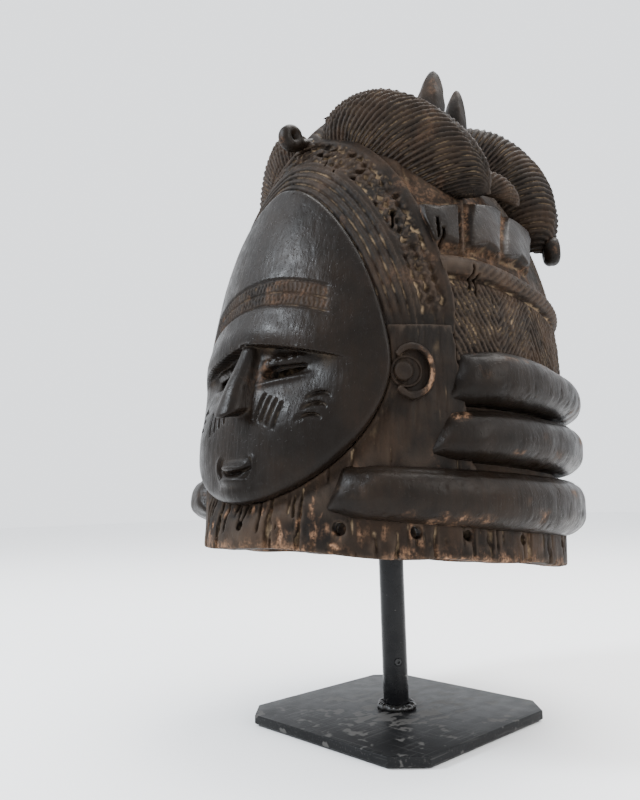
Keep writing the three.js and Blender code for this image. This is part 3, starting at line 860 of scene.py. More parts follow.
def paint_face(x, y, z):
    spot = Spot(x, y, z)
    bend = scar_height(spot)
    band = smooth(172, 174, bend) * (1 - smooth(189, 191, bend)) * (1 - smooth(28, 32, spot.angle))
    blotch = noise(x / 7, y / 7, z / 7, 42)
    under_lid = bell(np.abs(x) - 13, 4) * bell(z - 130, 11)
    wear = 0.25 * band * smooth(0.0, 0.7, blotch) + 0.3 * under_lid
    return {"polish": 1 - 0.7 * band - 0.5 * under_lid, "wear": wear}


def paint_side(x, y, z):
    spot = Spot(x, y, z)
    high = smooth(2.5, 4.5, spot.out)
    blotch = noise(x / 9, y / 9, z / 12, 43)
    between = bell(z - 225, 30) * (1 - smooth(112, 116, spot.angle)) * (1 - high)
    return {"polish": 0.12 + 0.75 * high * (z > 198), "wear": between * (0.45 + 0.4 * blotch)}


def paint_collar(x, y, z):
    spot = Spot(x, y, z)
    low = 1 - smooth(45, 85, z)
    flake = noise(spot.arc / 5, z / 15, x / 300, 44) + 0.5 * noise(spot.arc / 2, z / 7, x / 300, 45)
    front = 1 - 0.6 * smooth(28, 40, spot.angle)
    rim = bell(z - rim_height(y), 5) * smooth(-0.3, 0.5, noise(spot.arc / 12, y / 30, z / 30, 46))
    wear = np.maximum(low * front * smooth(0.25, 0.75, flake), 0.9 * rim)
    return {"polish": 0.35 - 0.2 * low, "wear": wear}


def paint_roll(x, y, z):
    spot = Spot(x, y, z)
    patch = noise(spot.arc / 22, z / 12, x / 300, 47) + 0.6 * noise(spot.arc / 6, z / 5, x / 300, 48)
    under = smooth(-3, 5, spot.out) * (1 - smooth(11.5, 13.5, spot.out))
    wear = smooth(0.45, 1.0, patch) * (0.35 + 0.5 * under)
    return {"polish": 0.92 - 0.5 * smooth(0.3, 0.9, patch), "wear": wear}


def paint_ear(side):
    def paint(x, y, z):
        spot = Spot(x * side, y, z)
        behind = smooth(2, 9, (spot.angle - EAR_ANGLE) * 2.1)
        return {"polish": np.full(len(x), 0.45), "wear": 0.55 * behind * smooth(3.6, 5.4, spot.out)}

    return paint


# ------------------------------------------------------------------ finishes


class Finish:
    """A material being built: nodes by kind, and links by place."""

    def __init__(self, name):
        self.material = bpy.data.materials.get(name) or bpy.data.materials.new(name)
        self.material.use_nodes = True
        self.tree = self.material.node_tree
        self.tree.nodes.clear()
        self.shader = self.node("ShaderNodeBsdfPrincipled")
        output = self.node("ShaderNodeOutputMaterial")
        self.link(self.shader.outputs[0], output.inputs["Surface"])
        self.place = self.node("ShaderNodeTexCoord").outputs["Object"]

    def node(self, kind, **values):
        made = self.tree.nodes.new(kind)
        for key, value in values.items():
            setattr(made, key, value)
        return made

    def link(self, source, target):
        self.tree.links.new(source, target)

    def feed(self, socket, value):
        if isinstance(value, bpy.types.NodeSocket):
            self.link(value, socket)
        else:
            socket.default_value = value

    def stretched(self, scale):
        mapping = self.node("ShaderNodeMapping")
        self.link(self.place, mapping.inputs["Vector"])
        mapping.inputs["Scale"].default_value = scale
        return mapping.outputs["Vector"]

    def noise(self, size, detail=4.0, rough=0.55, stretch=None):
        """Noise whose lumps are about size metres across."""
        made = self.node("ShaderNodeTexNoise")
        self.link(self.stretched(stretch) if stretch else self.place, made.inputs["Vector"])
        made.inputs["Scale"].default_value = 1 / size
        made.inputs["Detail"].default_value = detail
        made.inputs["Roughness"].default_value = rough
        return made.outputs["Fac"]

    def mask(self, label):
        return self.node("ShaderNodeAttribute", attribute_name=label).outputs["Fac"]

    def fit(self, value, low, high, to_low=0.0, to_high=1.0):
        made = self.node("ShaderNodeMapRange", interpolation_type="SMOOTHSTEP")
        self.link(value, made.inputs["Value"])
        ends = {"From Min": low, "From Max": high, "To Min": to_low, "To Max": to_high}
        for key, number in ends.items():
            made.inputs[key].default_value = number
        return made.outputs["Result"]

    def math(self, operation, a, b):
        made = self.node("ShaderNodeMath", operation=operation)
        self.feed(made.inputs[0], a)
        self.feed(made.inputs[1], b)
        return made.outputs[0]

    def mix(self, share, a, b):
        made = self.node("ShaderNodeMix", data_type="RGBA")
        self.feed(made.inputs["Factor"], share)
        for socket, value in ((made.inputs[6], a), (made.inputs[7], b)):
            self.feed(socket, value if isinstance(value, bpy.types.NodeSocket) else (*value, 1))
        return made.outputs[2]

    def bump(self, height, distance, strength=1.0):
        made = self.node("ShaderNodeBump")
        made.inputs["Distance"].default_value = distance
        made.inputs["Strength"].default_value = strength
        self.link(height, made.inputs["Height"])
        self.link(made.outputs["Normal"], self.shader.inputs["Normal"])


def wood_finish(settings):
    """Blackened wood: patina over brown, dust in the cuts, bare wood where it has worn."""
    f = Finish("carved_wood")
    patina, brown = settings.patina, settings.brown
    blotch = f.fit(f.noise(0.045, 5), 0.38, 0.68)
    grain = f.noise(0.0035, 6, 0.6, (1, 1, 0.09))
    fleck = f.noise(0.0016, 3, 0.6)
    polish, recess = f.mask("polish"), f.mask("recess")
    carved = f.math("SUBTRACT", 1.0, polish)
    warm = f.math("MULTIPLY", f.math("ADD", f.math("MULTIPLY", carved, 0.75), 0.25), blotch)
    colour = f.mix(warm, patina, brown)
    colour = f.mix(f.math("MULTIPLY", f.fit(grain, 0.35, 0.7), 0.35), colour, (0.006, 0.005, 0.004))
    # painted highlight: raised crests of the carved areas get a lighter tan colour, partly rubbed wear
    # and partly standing in for highlight on the ridges
    ridge = f.math("MULTIPLY", f.mask("raised"), f.math("MULTIPLY", carved, 0.45))
    colour = f.mix(ridge, colour, settings.ridge)
    dusty = f.math("MULTIPLY", recess, f.fit(f.noise(0.012, 4), 0.42, 0.72))
    dusty = f.math("MULTIPLY", dusty, f.math("ADD", f.math("MULTIPLY", carved, 0.62), 0.08))
    colour = f.mix(dusty, colour, settings.dust)
    worn = f.math("MULTIPLY", f.mask("wear"), f.fit(f.math("ADD", fleck, grain), 0.75, 1.25))
    bare = f.mix(f.fit(f.noise(0.006, 3), 0.4, 0.6), settings.bare, settings.brown)
    colour = f.mix(worn, colour, bare)
    f.link(colour, f.shader.inputs["Base Color"])
    rough = f.fit(polish, 0, 1, settings.dull, settings.sheen)
    rough = f.math("ADD", rough, f.math("MULTIPLY", f.fit(f.noise(0.008, 5), 0.3, 0.7), 0.16))
    rough = f.math("ADD", rough, f.math("MULTIPLY", f.math("ADD", recess, worn), 0.22))
    f.link(f.math("MINIMUM", rough, 0.95), f.shader.inputs["Roughness"])
    f.shader.inputs["Specular IOR Level"].default_value = settings.shine
    pits = f.fit(f.noise(0.0022, 2), 0.28, 0.42)
    height = f.math("ADD", f.math("MULTIPLY", grain, 0.8), f.math("MULTIPLY", pits, 0.22))
    height = f.math("ADD", height, f.math("MULTIPLY", f.noise(0.009, 3, 0.5, (1, 1, 0.5)), 0.9))
    f.bump(height, 0.0008, 0.6)
    return f.material


def plate_finish(settings):
    """Dark satin steel with pale rubbed patches and fine scratches."""
    f = Finish("blackened_steel")
    near = f.node("ShaderNodeVectorMath", operation="LENGTH")
    f.link(f.place, near.inputs[0])
    near_post = f.fit(near.outputs["Value"], 0.020, 0.070, 0.17, 0.0)
    patch = f.fit(f.math("ADD", f.noise(0.011, 2, 0.5), near_post), 0.60, 0.63)
    blocky = f.fit(f.noise(0.006, 2, 0.5, (1.0, 0.4, 1)), 0.42, 0.5)
    rubbed = f.math("MULTIPLY", patch, blocky)
    scratch = f.fit(f.noise(0.0011, 2, 0.5, (1.0, 0.03, 1)), 0.60, 0.68)
    scratch_b = f.fit(f.noise(0.0013, 2, 0.5, (0.03, 1.0, 1)), 0.62, 0.70)
    marks = f.math("MAXIMUM", scratch, scratch_b)
    colour = f.mix(f.fit(f.noise(0.06, 3), 0.35, 0.65), settings.steel, settings.steel_light)
    colour = f.mix(f.math("MULTIPLY", rubbed, 0.75), colour, settings.rubbed)
    colour = f.mix(f.math("MULTIPLY", marks, 0.25), colour, settings.rubbed)
    f.link(colour, f.shader.inputs["Base Color"])
    f.shader.inputs["Specular IOR Level"].default_value = 0.09
    rough = f.fit(f.noise(0.010, 5), 0.3, 0.7, 0.40, 0.46)
    rough = f.math("ADD", rough, f.math("MULTIPLY", rubbed, 0.12))
    f.link(rough, f.shader.inputs["Roughness"])
    f.bump(f.math("ADD", f.noise(0.0012, 4), f.math("MULTIPLY", marks, 0.4)), 0.00012, 0.6)
    return f.material


def gloss_finish(settings):
    """Black gloss paint over steel, with orange peel, dust and small chips."""
    f = Finish("black_paint")
    dust = f.fit(f.noise(0.004, 6, 0.7), 0.5, 0.75)
    chip = f.fit(f.noise(0.0035, 3, 0.6), 0.70, 0.74)
    colour = f.mix(f.math("MULTIPLY", dust, 0.35), settings.paint, settings.steel)
    colour = f.mix(chip, colour, settings.rubbed)
    f.link(colour, f.shader.inputs["Base Color"])
    f.link(f.fit(f.noise(0.01, 5), 0.3, 0.7, 0.16, 0.34), f.shader.inputs["Roughness"])
    f.shader.inputs["Specular IOR Level"].default_value = 0.14
    f.bump(f.noise(0.0025, 3), 0.0001, 0.5)
    return f.material


def metal_finish(name, colour, low, high, metallic=1.0):
    """Bare metal with fine turned lines."""
    f = Finish(name)
    lines = f.noise(0.0009, 3, 0.5, (0.05, 0.05, 1))
    shade = f.mix(f.fit(f.noise(0.008, 4), 0.35, 0.65), colour, tuple(0.55 * c for c in colour))
    f.link(shade, f.shader.inputs["Base Color"])
    f.shader.inputs["Metallic"].default_value = metallic
    f.link(f.fit(lines, 0.3, 0.7, low, high), f.shader.inputs["Roughness"])
    f.bump(lines, 0.00008, 0.5)
    return f.material


def felt_finish():
    """Pressed black felt: short matted fibres."""
    f = Finish("felt")
    fibre = f.noise(0.0007, 5, 0.7)
    matted = f.noise(0.004, 4, 0.6)
    f.link(f.mix(f.fit(fibre, 0.35, 0.7), (0.010, 0.010, 0.011), (0.035, 0.034, 0.033)),
           f.shader.inputs["Base Color"])
    f.link(f.fit(fibre, 0.3, 0.7, 0.85, 1.0), f.shader.inputs["Roughness"])
    f.shader.inputs["Sheen Weight"].default_value = 0.25
    f.bump(f.math("ADD", fibre, matted), 0.0004, 0.8)
    return f.material


def nylon_finish():
    """Turned natural nylon."""
    f = Finish("nylon")
    colour = f.mix(f.noise(0.003, 3), (0.62, 0.60, 0.54), (0.72, 0.70, 0.65))
    f.link(colour, f.shader.inputs["Base Color"])
    f.link(f.fit(f.noise(0.001, 3), 0.3, 0.7, 0.42, 0.58), f.shader.inputs["Roughness"])
    f.bump(f.noise(0.0006, 2, 0.5, (0.05, 0.05, 1)), 0.00005, 0.5)
    return f.material


# ------------------------------------------------------------------ the stand's pieces

ROD_RADIUS, SPIGOT, COLLAR_HEIGHT = 6.5, 5, 12
SPIGOT_BORE, SCREW_BORE = 5.3, 3.3
TUBE_WALL = 2


def finish_piece(piece, node, material, body):
    """Dresses a piece that stands for one CAD node."""
    piece.data.materials.clear()
    piece.data.materials.append(bpy.data.materials[material])
    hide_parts(node)
    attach(piece, body)
    return piece


def from_bmesh(name, bm, smooth_below=30):
    mesh = bpy.data.meshes.new(name)
    bm.to_mesh(mesh)
    bm.free()
    mesh.polygons.foreach_set("use_smooth", np.ones(len(mesh.polygons), bool))
    mesh.set_sharp_from_angle(angle=math.radians(smooth_below))
    piece = bpy.data.objects.new(name, mesh)
    bpy.context.scene.collection.objects.link(piece)
    return piece


def turned(name, profile, sides=96, bevel=0.0):
    """A piece of revolution about the post's axis from (radius, height) points in millimetres."""
    bm = bmesh.new()
    rings = []
    for radius, height in profile:
        if radius <= 0:
            rings.append([bm.verts.new((0, 0, height * MM))])
            continue
        ring = []
        for i in range(sides):
            turn = 2 * math.pi * i / sides
            across, along = radius * math.cos(turn), radius * math.sin(turn)
            ring.append(bm.verts.new((across * MM, along * MM, height * MM)))
        rings.append(ring)
    closed = len(rings[0]) > 1
    loops = list(zip(rings, rings[1:] + ([rings[0]] if closed else [])))
    for a, b in loops[: len(rings) if closed else len(rings) - 1]:
        for i in range(sides):
            j = (i + 1) % sides
            corners = []
            for corner in (a[i % len(a)], a[j % len(a)], b[j % len(b)], b[i % len(b)]):
                if corner not in corners:
                    corners.append(corner)
            if len(corners) > 2:
                bm.faces.new(corners)
    bmesh.ops.recalc_face_normals(bm, faces=bm.faces)
    if bevel:
        sharp = [e for e in bm.edges if len(e.link_faces) == 2 and e.calc_face_angle(0) > 0.6]
        bmesh.ops.bevel(bm, geom=sharp, offset=bevel * MM, segments=3, profile=0.5, affect="EDGES")
    return from_bmesh(name, bm)


def bevelled_copy(node, name, bevel, segments=3):
    """A copy of a CAD node with its shared corners merged and its edges eased."""
    bm = bmesh.new()
    bm.from_mesh(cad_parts[node].data)
    bmesh.ops.remove_doubles(bm, verts=bm.verts, dist=1e-6)
    bmesh.ops.dissolve_limit(bm, angle_limit=0.01, verts=bm.verts, edges=bm.edges)
    bmesh.ops.bevel(
        bm, geom=bm.edges[:], offset=bevel * MM, segments=segments, profile=0.5, affect="EDGES"
    )
    bmesh.ops.recalc_face_normals(bm, faces=bm.faces)
    return from_bmesh(name, bm, 25)


def node_span(node):
    """Outer radius, lowest and highest level of a round CAD node, in millimetres."""
    low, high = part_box(node)
    return (high.x - low.x) / 2 / MM, low.z / MM, high.z / MM


def weld_tree():
    """Overlapping lumps laid round a ring, as a node group with named sizes."""
    tree = bpy.data.node_groups.new("Weld bead", "GeometryNodeTree")
    face = tree.interface
    for label, kind, value in (
        ("Ring Radius", "NodeSocketFloat", 0.0115),
        ("Lump Radius", "NodeSocketFloat", 0.0036),
        ("Lumps", "NodeSocketInt", 26),
        ("Seed", "NodeSocketInt", 4),
        ("Height", "NodeSocketFloat", 0.0),
    ):
        socket = face.new_socket(label, in_out="INPUT", socket_type=kind)
        socket.default_value = value
    face.new_socket("Material", in_out="INPUT", socket_type="NodeSocketMaterial")
    face.new_socket("Geometry", in_out="OUTPUT", socket_type="NodeSocketGeometry")

    def node(kind, **values):
        made = tree.nodes.new(kind)
        for key, value in values.items():
            setattr(made, key, value)
        return made

    link = tree.links.new
    given, result = node("NodeGroupInput"), node("NodeGroupOutput")
    ring = node("GeometryNodeCurvePrimitiveCircle")
    link(given.outputs["Ring Radius"], ring.inputs["Radius"])
    spaced = node("GeometryNodeResampleCurve")
    link(ring.outputs["Curve"], spaced.inputs["Curve"])
    link(given.outputs["Lumps"], spaced.inputs["Count"])
    ball = node("GeometryNodeMeshIcoSphere")
    ball.inputs["Subdivisions"].default_value = 4
    link(given.outputs["Lump Radius"], ball.inputs["Radius"])
    laid = node("GeometryNodeInstanceOnPoints")
    link(spaced.outputs["Curve"], laid.inputs["Points"])
    link(ball.outputs["Mesh"], laid.inputs["Instance"])
    size = node("FunctionNodeRandomValue", data_type="FLOAT_VECTOR")
    size.inputs[0].default_value = (0.75, 0.75, 0.7)
    size.inputs[1].default_value = (1.35, 1.35, 1.2)
    link(given.outputs["Seed"], size.inputs["Seed"])
    link(size.outputs[0], laid.inputs["Scale"])
    lift = node("ShaderNodeCombineXYZ")
    link(given.outputs["Height"], lift.inputs["Z"])
    moved = node("GeometryNodeTransform")
    link(laid.outputs["Instances"], moved.inputs["Geometry"])
    link(lift.outputs["Vector"], moved.inputs["Translation"])
    real = node("GeometryNodeRealizeInstances")
    link(moved.outputs["Geometry"], real.inputs["Geometry"])
    painted = node("GeometryNodeSetMaterial")
    link(real.outputs["Geometry"], painted.inputs["Geometry"])
    link(given.outputs["Material"], painted.inputs["Material"])
    link(painted.outputs["Geometry"], result.inputs["Geometry"])
    return tree


def grown(name, tree, **values):
    """The plain mesh that a node group makes from the given inputs."""
    holder = bpy.data.objects.new(name + "_source", bpy.data.meshes.new(name + "_source"))
    bpy.context.scene.collection.objects.link(holder)
    modifier = holder.modifiers.new("Nodes", "NODES")
    modifier.node_group = tree
    for socket in tree.interface.items_tree:
        if socket.in_out == "INPUT" and socket.name in values:
            modifier[socket.identifier] = values[socket.name]
    bpy.context.view_layer.update()
    shown = holder.evaluated_get(bpy.context.evaluated_depsgraph_get())
    mesh = bpy.data.meshes.new_from_object(shown)
    bpy.data.objects.remove(holder)
    mesh.name = name
    piece = bpy.data.objects.new(name, mesh)
    bpy.context.scene.collection.objects.link(piece)
    mesh.polygons.foreach_set("use_smooth", np.ones(len(mesh.polygons), bool))
    return piece


# ------------------------------------------------------------------ settings


def colour_prop(name, description, default):
    return FloatVectorProperty(name=name, description=description, subtype="COLOR",
                               size=3, min=0, max=1, default=default)


class MaskSettings(bpy.types.PropertyGroup):
    coarseness: FloatProperty(
        name="Coarseness", description="Scales the size of the carving's smallest facet",
        default=1.0, min=0.5, max=4)
    patina: colour_prop("Patina", "Blackened, handled wood", (0.0052, 0.0037, 0.0028))
    brown: colour_prop("Brown", "Wood where the black is thin", (0.024, 0.0140, 0.0082))
    # ridge: lighter colour of the raised crests, partly rubbed wear and partly a painted highlight
    ridge: colour_prop("Ridge", "Rubbed crests between grooves", (0.058, 0.041, 0.029))
    dust: colour_prop("Dust", "Dust and clay left in the cuts", (0.27, 0.195, 0.120))
    bare: colour_prop("Bare wood", "Wood that the patina has worn off", (0.26, 0.145, 0.085))
    sheen: FloatProperty(name="Polished roughness", description="Roughness of the handled surfaces",
                         default=0.27, min=0.05, max=1, subtype="FACTOR")
    shine: FloatProperty(name="Shine", description="Strength of the wood's reflections",
                         default=0.08, min=0, max=1, subtype="FACTOR")
    dull: FloatProperty(name="Carved roughness", description="Roughness of the carved surfaces",
                        default=0.60, min=0.05, max=1, subtype="FACTOR")


class StandSettings(bpy.types.PropertyGroup):
    steel: colour_prop("Steel", "Blackened plate", (0.0048, 0.0048, 0.0050))
    steel_light: colour_prop("Light steel", "Plate where the black is thin", (0.0085, 0.0085, 0.0088))
    rubbed: colour_prop("Rubbed steel", "Scuffs and scratches", (0.075, 0.072, 0.068))
    paint: colour_prop("Paint", "Gloss paint on the post", (0.0035, 0.0035, 0.0040))
    bevel: FloatProperty(name="Plate edge", description="Width of the plate's eased edge",
                         default=0.0008, min=0.0001, max=0.002, unit="LENGTH")
    weld_lumps: IntProperty(name="Weld lumps", description="Lumps in the weld's ring",
                            default=26, min=8, max=60)


class StageSettings(bpy.types.PropertyGroup):
    floor: colour_prop("Floor", "Pale floor", (0.93, 0.93, 0.93))
    lens: FloatProperty(name="Focal length", description="Camera focal length in millimetres",
                        default=32.4, min=10, max=200)
    key_power: FloatProperty(name="Window light", description="Power of the largest light",
                             default=60.0, min=0, unit="POWER")


# ------------------------------------------------------------------ the stage

SKY_COLOUR, SKY_STRENGTH = (0.93, 0.96, 1.0), 2.0
CAMERA_AT = (360.5, -407.4, 147 + PLATE_TOP)
CAMERA_TURNS = (("Z", 46.71), ("X", 98.06), ("Z", -1.42))

# ------------------------------------------------------------------ operators


class Make:
    """Shared by all operators of this add-on."""

    bl_options = {"REGISTER", "UNDO"}

    def execute(self, context):
        self.make(context.scene)
        return {"FINISHED"}


class MASK_OT_finishes(Make, bpy.types.Operator):
    """Mix every finish of the mask and its stand"""

    bl_idname = "mask.finishes"
    bl_label = "Mix finishes"

    def make(self, scene):
        wood_finish(scene.carved_mask)
        plate_finish(scene.mask_stand)
        gloss_finish(scene.mask_stand)
        metal_finish("bright_steel", (0.42, 0.42, 0.43), 0.22, 0.42)
        metal_finish("screw_steel", (0.05, 0.05, 0.05), 0.3, 0.5)
        metal_finish("weld", (0.012, 0.0115, 0.011), 0.22, 0.45, 0.2)
        felt_finish()
        nylon_finish()


class MASK_OT_face(Make, bpy.types.Operator):
    """Carve the smooth face with its brow, eyes, nose, mouth and scars"""

    bl_idname = "mask.face"
    bl_label = "Carve face"

    def make(self, scene):
        carve("face", face_field, (-105, -170, 38), (105, -30, 272), 0.85, paint_face, 0.01)


class MASK_OT_bands(Make, bpy.types.Operator):
    """Carve the hairband and the chip-carved band round the face"""

    bl_idname = "mask.bands"
    bl_label = "Carve bands"

    def make(self, scene):
        carve("hairband", hairband_field, (-120, -145, 142), (120, -20, 300), 0.85, even(0.3, 0.1))
        carve("chip_band", chip_band_field, (-128, -140, 142), (128, 10, 324), 0.9, even(0.1, 0.15))


class MASK_OT_sides(Make, bpy.types.Operator):
    """Carve the panels, moulding and combed hair of both sides"""

    bl_idname = "mask.sides"
    bl_label = "Carve sides"

    def make(self, scene):
        for label, side in SIDES:
            def half(x, y, z, side=side):
                return np.maximum(side_field(x, y, z), -side * x)

            x = sorted((-2 * side, 128 * side))
            carve(f"side_{label}", half, (x[0], -110, 108), (x[1], 152, 310), 1.15, paint_side, 0.012)


class MASK_OT_collar(Make, bpy.types.Operator):
    """Carve the neck's lower edge, with its splits and lashing holes"""

    bl_idname = "mask.collar"
    bl_label = "Carve collar"

    def make(self, scene):
        carve("collar", collar_field, (-128, -172, -16), (128, 150, 148), 1.0, paint_collar, 0.01)


class MASK_OT_rolls(Make, bpy.types.Operator):
    """Carve the three rolls of the neck"""

    bl_idname = "mask.rolls"
    bl_label = "Carve neck rolls"

    def make(self, scene):
        for name, (_, _, low, high) in ROLLS.items():
            corners = (-134, -150, min(low) - 4), (134, 158, max(high) + 12)
            carve(f"neck_roll_{name}", roll_field(name), *corners, 1.1, paint_roll, 0.01)


class MASK_OT_hair(Make, bpy.types.Operator):
    """Carve the combed lobes of hair, their curls and the crown"""

    bl_idname = "mask.hair"
    bl_label = "Carve hair"

    def make(self, scene):
        boxes = {"front": ((-12, -104, 226), (134, 12, 364)), "rear": ((-10, 5, 200), (126, 142, 368)),
                 "lock": ((72, -14, 240), (116, 56, 290))}
        for name, (low, high) in boxes.items():
            for label, side in SIDES:
                a, b = (low[0], high[0]) if side > 0 else (-high[0], -low[0])
                field = lobe_field(name, side)
                carve(f"hair_{name}_{label}", field, (a, *low[1:]), (b, *high[1:]), 0.75, even(0.3, 0.1))
        carve("crown", crown_field, (-90, -110, 294), (90, 130, 346), 1.1, even(0.2))
        stem = Spine((0, -86, 300), (1, -76, 303), (3, -52, 314))
        knob = ring_field((0, -90, 304), (1, 0, 0), 5.2, 4.4, stem)
        carve("brow_curl", knob, (-12, -106, 288), (14, -40, 328), 0.6, even(0.75, 0.3))
        for label, side in SIDES:
            curl = ring_field((88 * side, 105, 240), (side, 0.7, 0), 6.4, 5.2)
            low, high = sorted((70 * side, 106 * side))
            carve(f"rear_curl_{label}", curl, (low, 86, 220), (high, 124, 260), 0.7, even(0.7, 0.2))


class MASK_OT_horns(Make, bpy.types.Operator):
    """Carve the two pointed horns of the crown"""

    bl_idname = "mask.horns"
    bl_label = "Carve horns"

    def make(self, scene):
        for name, (foot, tip, half) in HORNS.items():
            low, high = (-24, foot[1] - 24, foot[2] - 18), (26, tip[1] + 24, tip[2] + 5)
            carve(f"horn_{name}", horn_field(foot, tip, half), low, high, 0.75, even(0.4, 0.2))


class MASK_OT_ears(Make, bpy.types.Operator):
    """Carve the two ring-shaped ears"""

    bl_idname = "mask.ears"
    bl_label = "Carve ears"

    def make(self, scene):
        for label, side in SIDES:
            low, high = sorted((76 * side, 122 * side))
            corners = (low, -112, 98), (high, -62, 144)
            carve(f"ear_{label}", ear_field(side), *corners, 0.55, paint_ear(side))


class MASK_OT_lining(Make, bpy.types.Operator):
    """Hollow the inside, with the marks of the gouge"""

    bl_idname = "mask.lining"
    bl_label = "Hollow inside"

    def make(self, scene):
        carve("lining", lining_field, (-112, -156, 22), (112, 140, 334), 2.0, even(0.1, 0.1), 0.02)


class MASK_OT_plate(Make, bpy.types.Operator):
    """Make the stand's plate, its felt and the weld"""

    bl_idname = "mask.plate"
    bl_label = "Make plate"

    def make(self, scene):
        settings = scene.mask_stand
        plate = bevelled_copy("base_plate", "stand_plate", settings.bevel / MM)
        finish_piece(plate, "base_plate", "blackened_steel", "stand")
        felt = bevelled_copy("base_felt", "stand_felt", 0.3, 2)
        finish_piece(felt, "base_felt", "felt", "stand")
        low = node_span("weld_bead")[1]
        tube = node_span("post_tube")[0]
        values = {"Ring Radius": (tube + 1.9) * MM, "Lump Radius": 0.0030, "Height": (low + 1.6) * MM,
                  "Lumps": settings.weld_lumps, "Seed": 4, "Material": bpy.data.materials["weld"]}
        finish_piece(grown("stand_weld", weld_tree(), **values), "weld_bead", "weld", "stand")


class MASK_OT_post(Make, bpy.types.Operator):
    """Make the post tube, its set screw and the rod inside it"""

    bl_idname = "mask.post"
    bl_label = "Make post"

    def make(self, scene):
        outer, low, high = node_span("post_tube")
        inner = outer - TUBE_WALL
        tube = turned("post", [(inner, low), (outer, low), (outer, high), (inner, high)], 128)
        screw_low, screw_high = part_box("lock_screw")
        centre = (screw_low + screw_high) / 2
        way = Vector((centre.x, centre.y, 0)).normalized()
        cutter = self.peg("cutter", way, centre.z, 4 * MM, 12 * MM, 0.0028, 48)
        cut = tube.modifiers.new("hole", "BOOLEAN")
        cut.operation, cut.solver, cut.object = "DIFFERENCE", "EXACT", cutter
        shown = tube.evaluated_get(bpy.context.evaluated_depsgraph_get())
        mesh = bpy.data.meshes.new_from_object(shown)
        tube.modifiers.clear()
        tube.data = mesh
        mesh.set_sharp_from_angle(angle=math.radians(30))
        bpy.data.objects.remove(cutter)
        finish_piece(tube, "post_tube", "black_paint", "stand")
        start, reach = (inner - 0.2) * MM, (outer + 0.1) * MM
        screw = self.peg("set_screw", way, centre.z, start, reach, 0.0025, 48, 0.0013)
        finish_piece(screw, "lock_screw", "screw_steel", "set_screw")
        self.rod()

    @staticmethod
    def peg(name, way, height, start, reach, radius, sides, socket=0.0):
        """A round peg along a level direction, with an optional round socket in its outer end."""
        bm = bmesh.new()
        across, up = Vector((-way.y, way.x, 0)), Vector((0, 0, 1))

        def ring(at, size):
            turns = (2 * math.pi * i / sides for i in range(sides))
            centre = way * at + up * height
            return [bm.verts.new(centre + (across * math.cos(t) + up * math.sin(t)) * size)
                    for t in turns]

        rings = [ring(start, radius * 0.9), ring(start + 0.0002, radius),
                 ring(reach - 0.0003, radius), ring(reach, radius * 0.88)]
        if socket:
            rings += [ring(reach, socket), ring(reach - 0.0016, socket * 0.98)]
        for a, b in zip(rings, rings[1:]):
            for i in range(sides):
                j = (i + 1) % sides
                bm.faces.new((a[i], a[j], b[j], b[i]))
        bm.faces.new(rings[0][::-1])
        bm.faces.new(rings[-1])
        bmesh.ops.recalc_face_normals(bm, faces=bm.faces)
        return from_bmesh(name, bm)

    @staticmethod
    def rod():
        collar, low, high = node_span("inner_rod")
        shoulder = node_span("swivel_washer")[1] - 0.3
        under = shoulder - COLLAR_HEIGHT
        profile = [(0, low), (ROD_RADIUS, low), (ROD_RADIUS, under), (collar, under),
                   (collar, shoulder), (SPIGOT, shoulder), (SPIGOT, high), (0, high)]
        finish_piece(turned("rod", profile, 96, 0.4), "inner_rod", "bright_steel", "rod")
        outer, low, high = node_span("swivel_washer")
        profile = [(SPIGOT_BORE, low), (outer, low), (outer, high), (SPIGOT_BORE, high)]
        washer = turned("thrust_washer", profile, 96, 0.3)
        finish_piece(washer, "swivel_washer", "nylon", "rod")


class MASK_OT_head(Make, bpy.types.Operator):
    """Make the padded head that the mask rests on"""

    bl_idname = "mask.head"
    bl_label = "Make padded head"

    def make(self, scene):
        outer, low, high = node_span("support_hub")
        spigot_top = node_span("inner_rod")[2] + 0.3
        profile = [(SPIGOT_BORE, low), (outer, low), (outer, high), (SCREW_BORE, high),
                   (SCREW_BORE, spigot_top), (SPIGOT_BORE, spigot_top)]
        finish_piece(turned("head_hub", profile, 96, 0.6), "support_hub", "black_paint", "head")
        outer, low, high = node_span("support_disc")
        profile = [(SCREW_BORE, low), (outer, low), (outer, high), (SCREW_BORE, high)]
        disc = turned("head_disc", profile, 128, 0.6)
        finish_piece(disc, "support_disc", "black_paint", "head")
        outer, low, high = node_span("support_pad")
        crown = [(outer - 2.4 * (1 - math.cos(a)), high - 2.6 * (1 - math.sin(a)))
                 for a in (math.pi / 2 * i / 6 for i in range(7))]
        profile = [(7, low), (outer, low)] + crown + [(9, high), (7.4, high - 0.8)]
        finish_piece(turned("head_pad", profile, 128), "support_pad", "felt", "head")
        head, low, high = node_span("support_screw")
        under = node_span("support_pad")[1]
        profile = [(0, low), (3, low), (3, under), (head, under), (head, high), (2.6, high),
                   (2.6, high - 1.8), (0, high - 1.8)]
        finish_piece(turned("head_screw", profile, 64, 0.25), "support_screw", "bright_steel", "head")


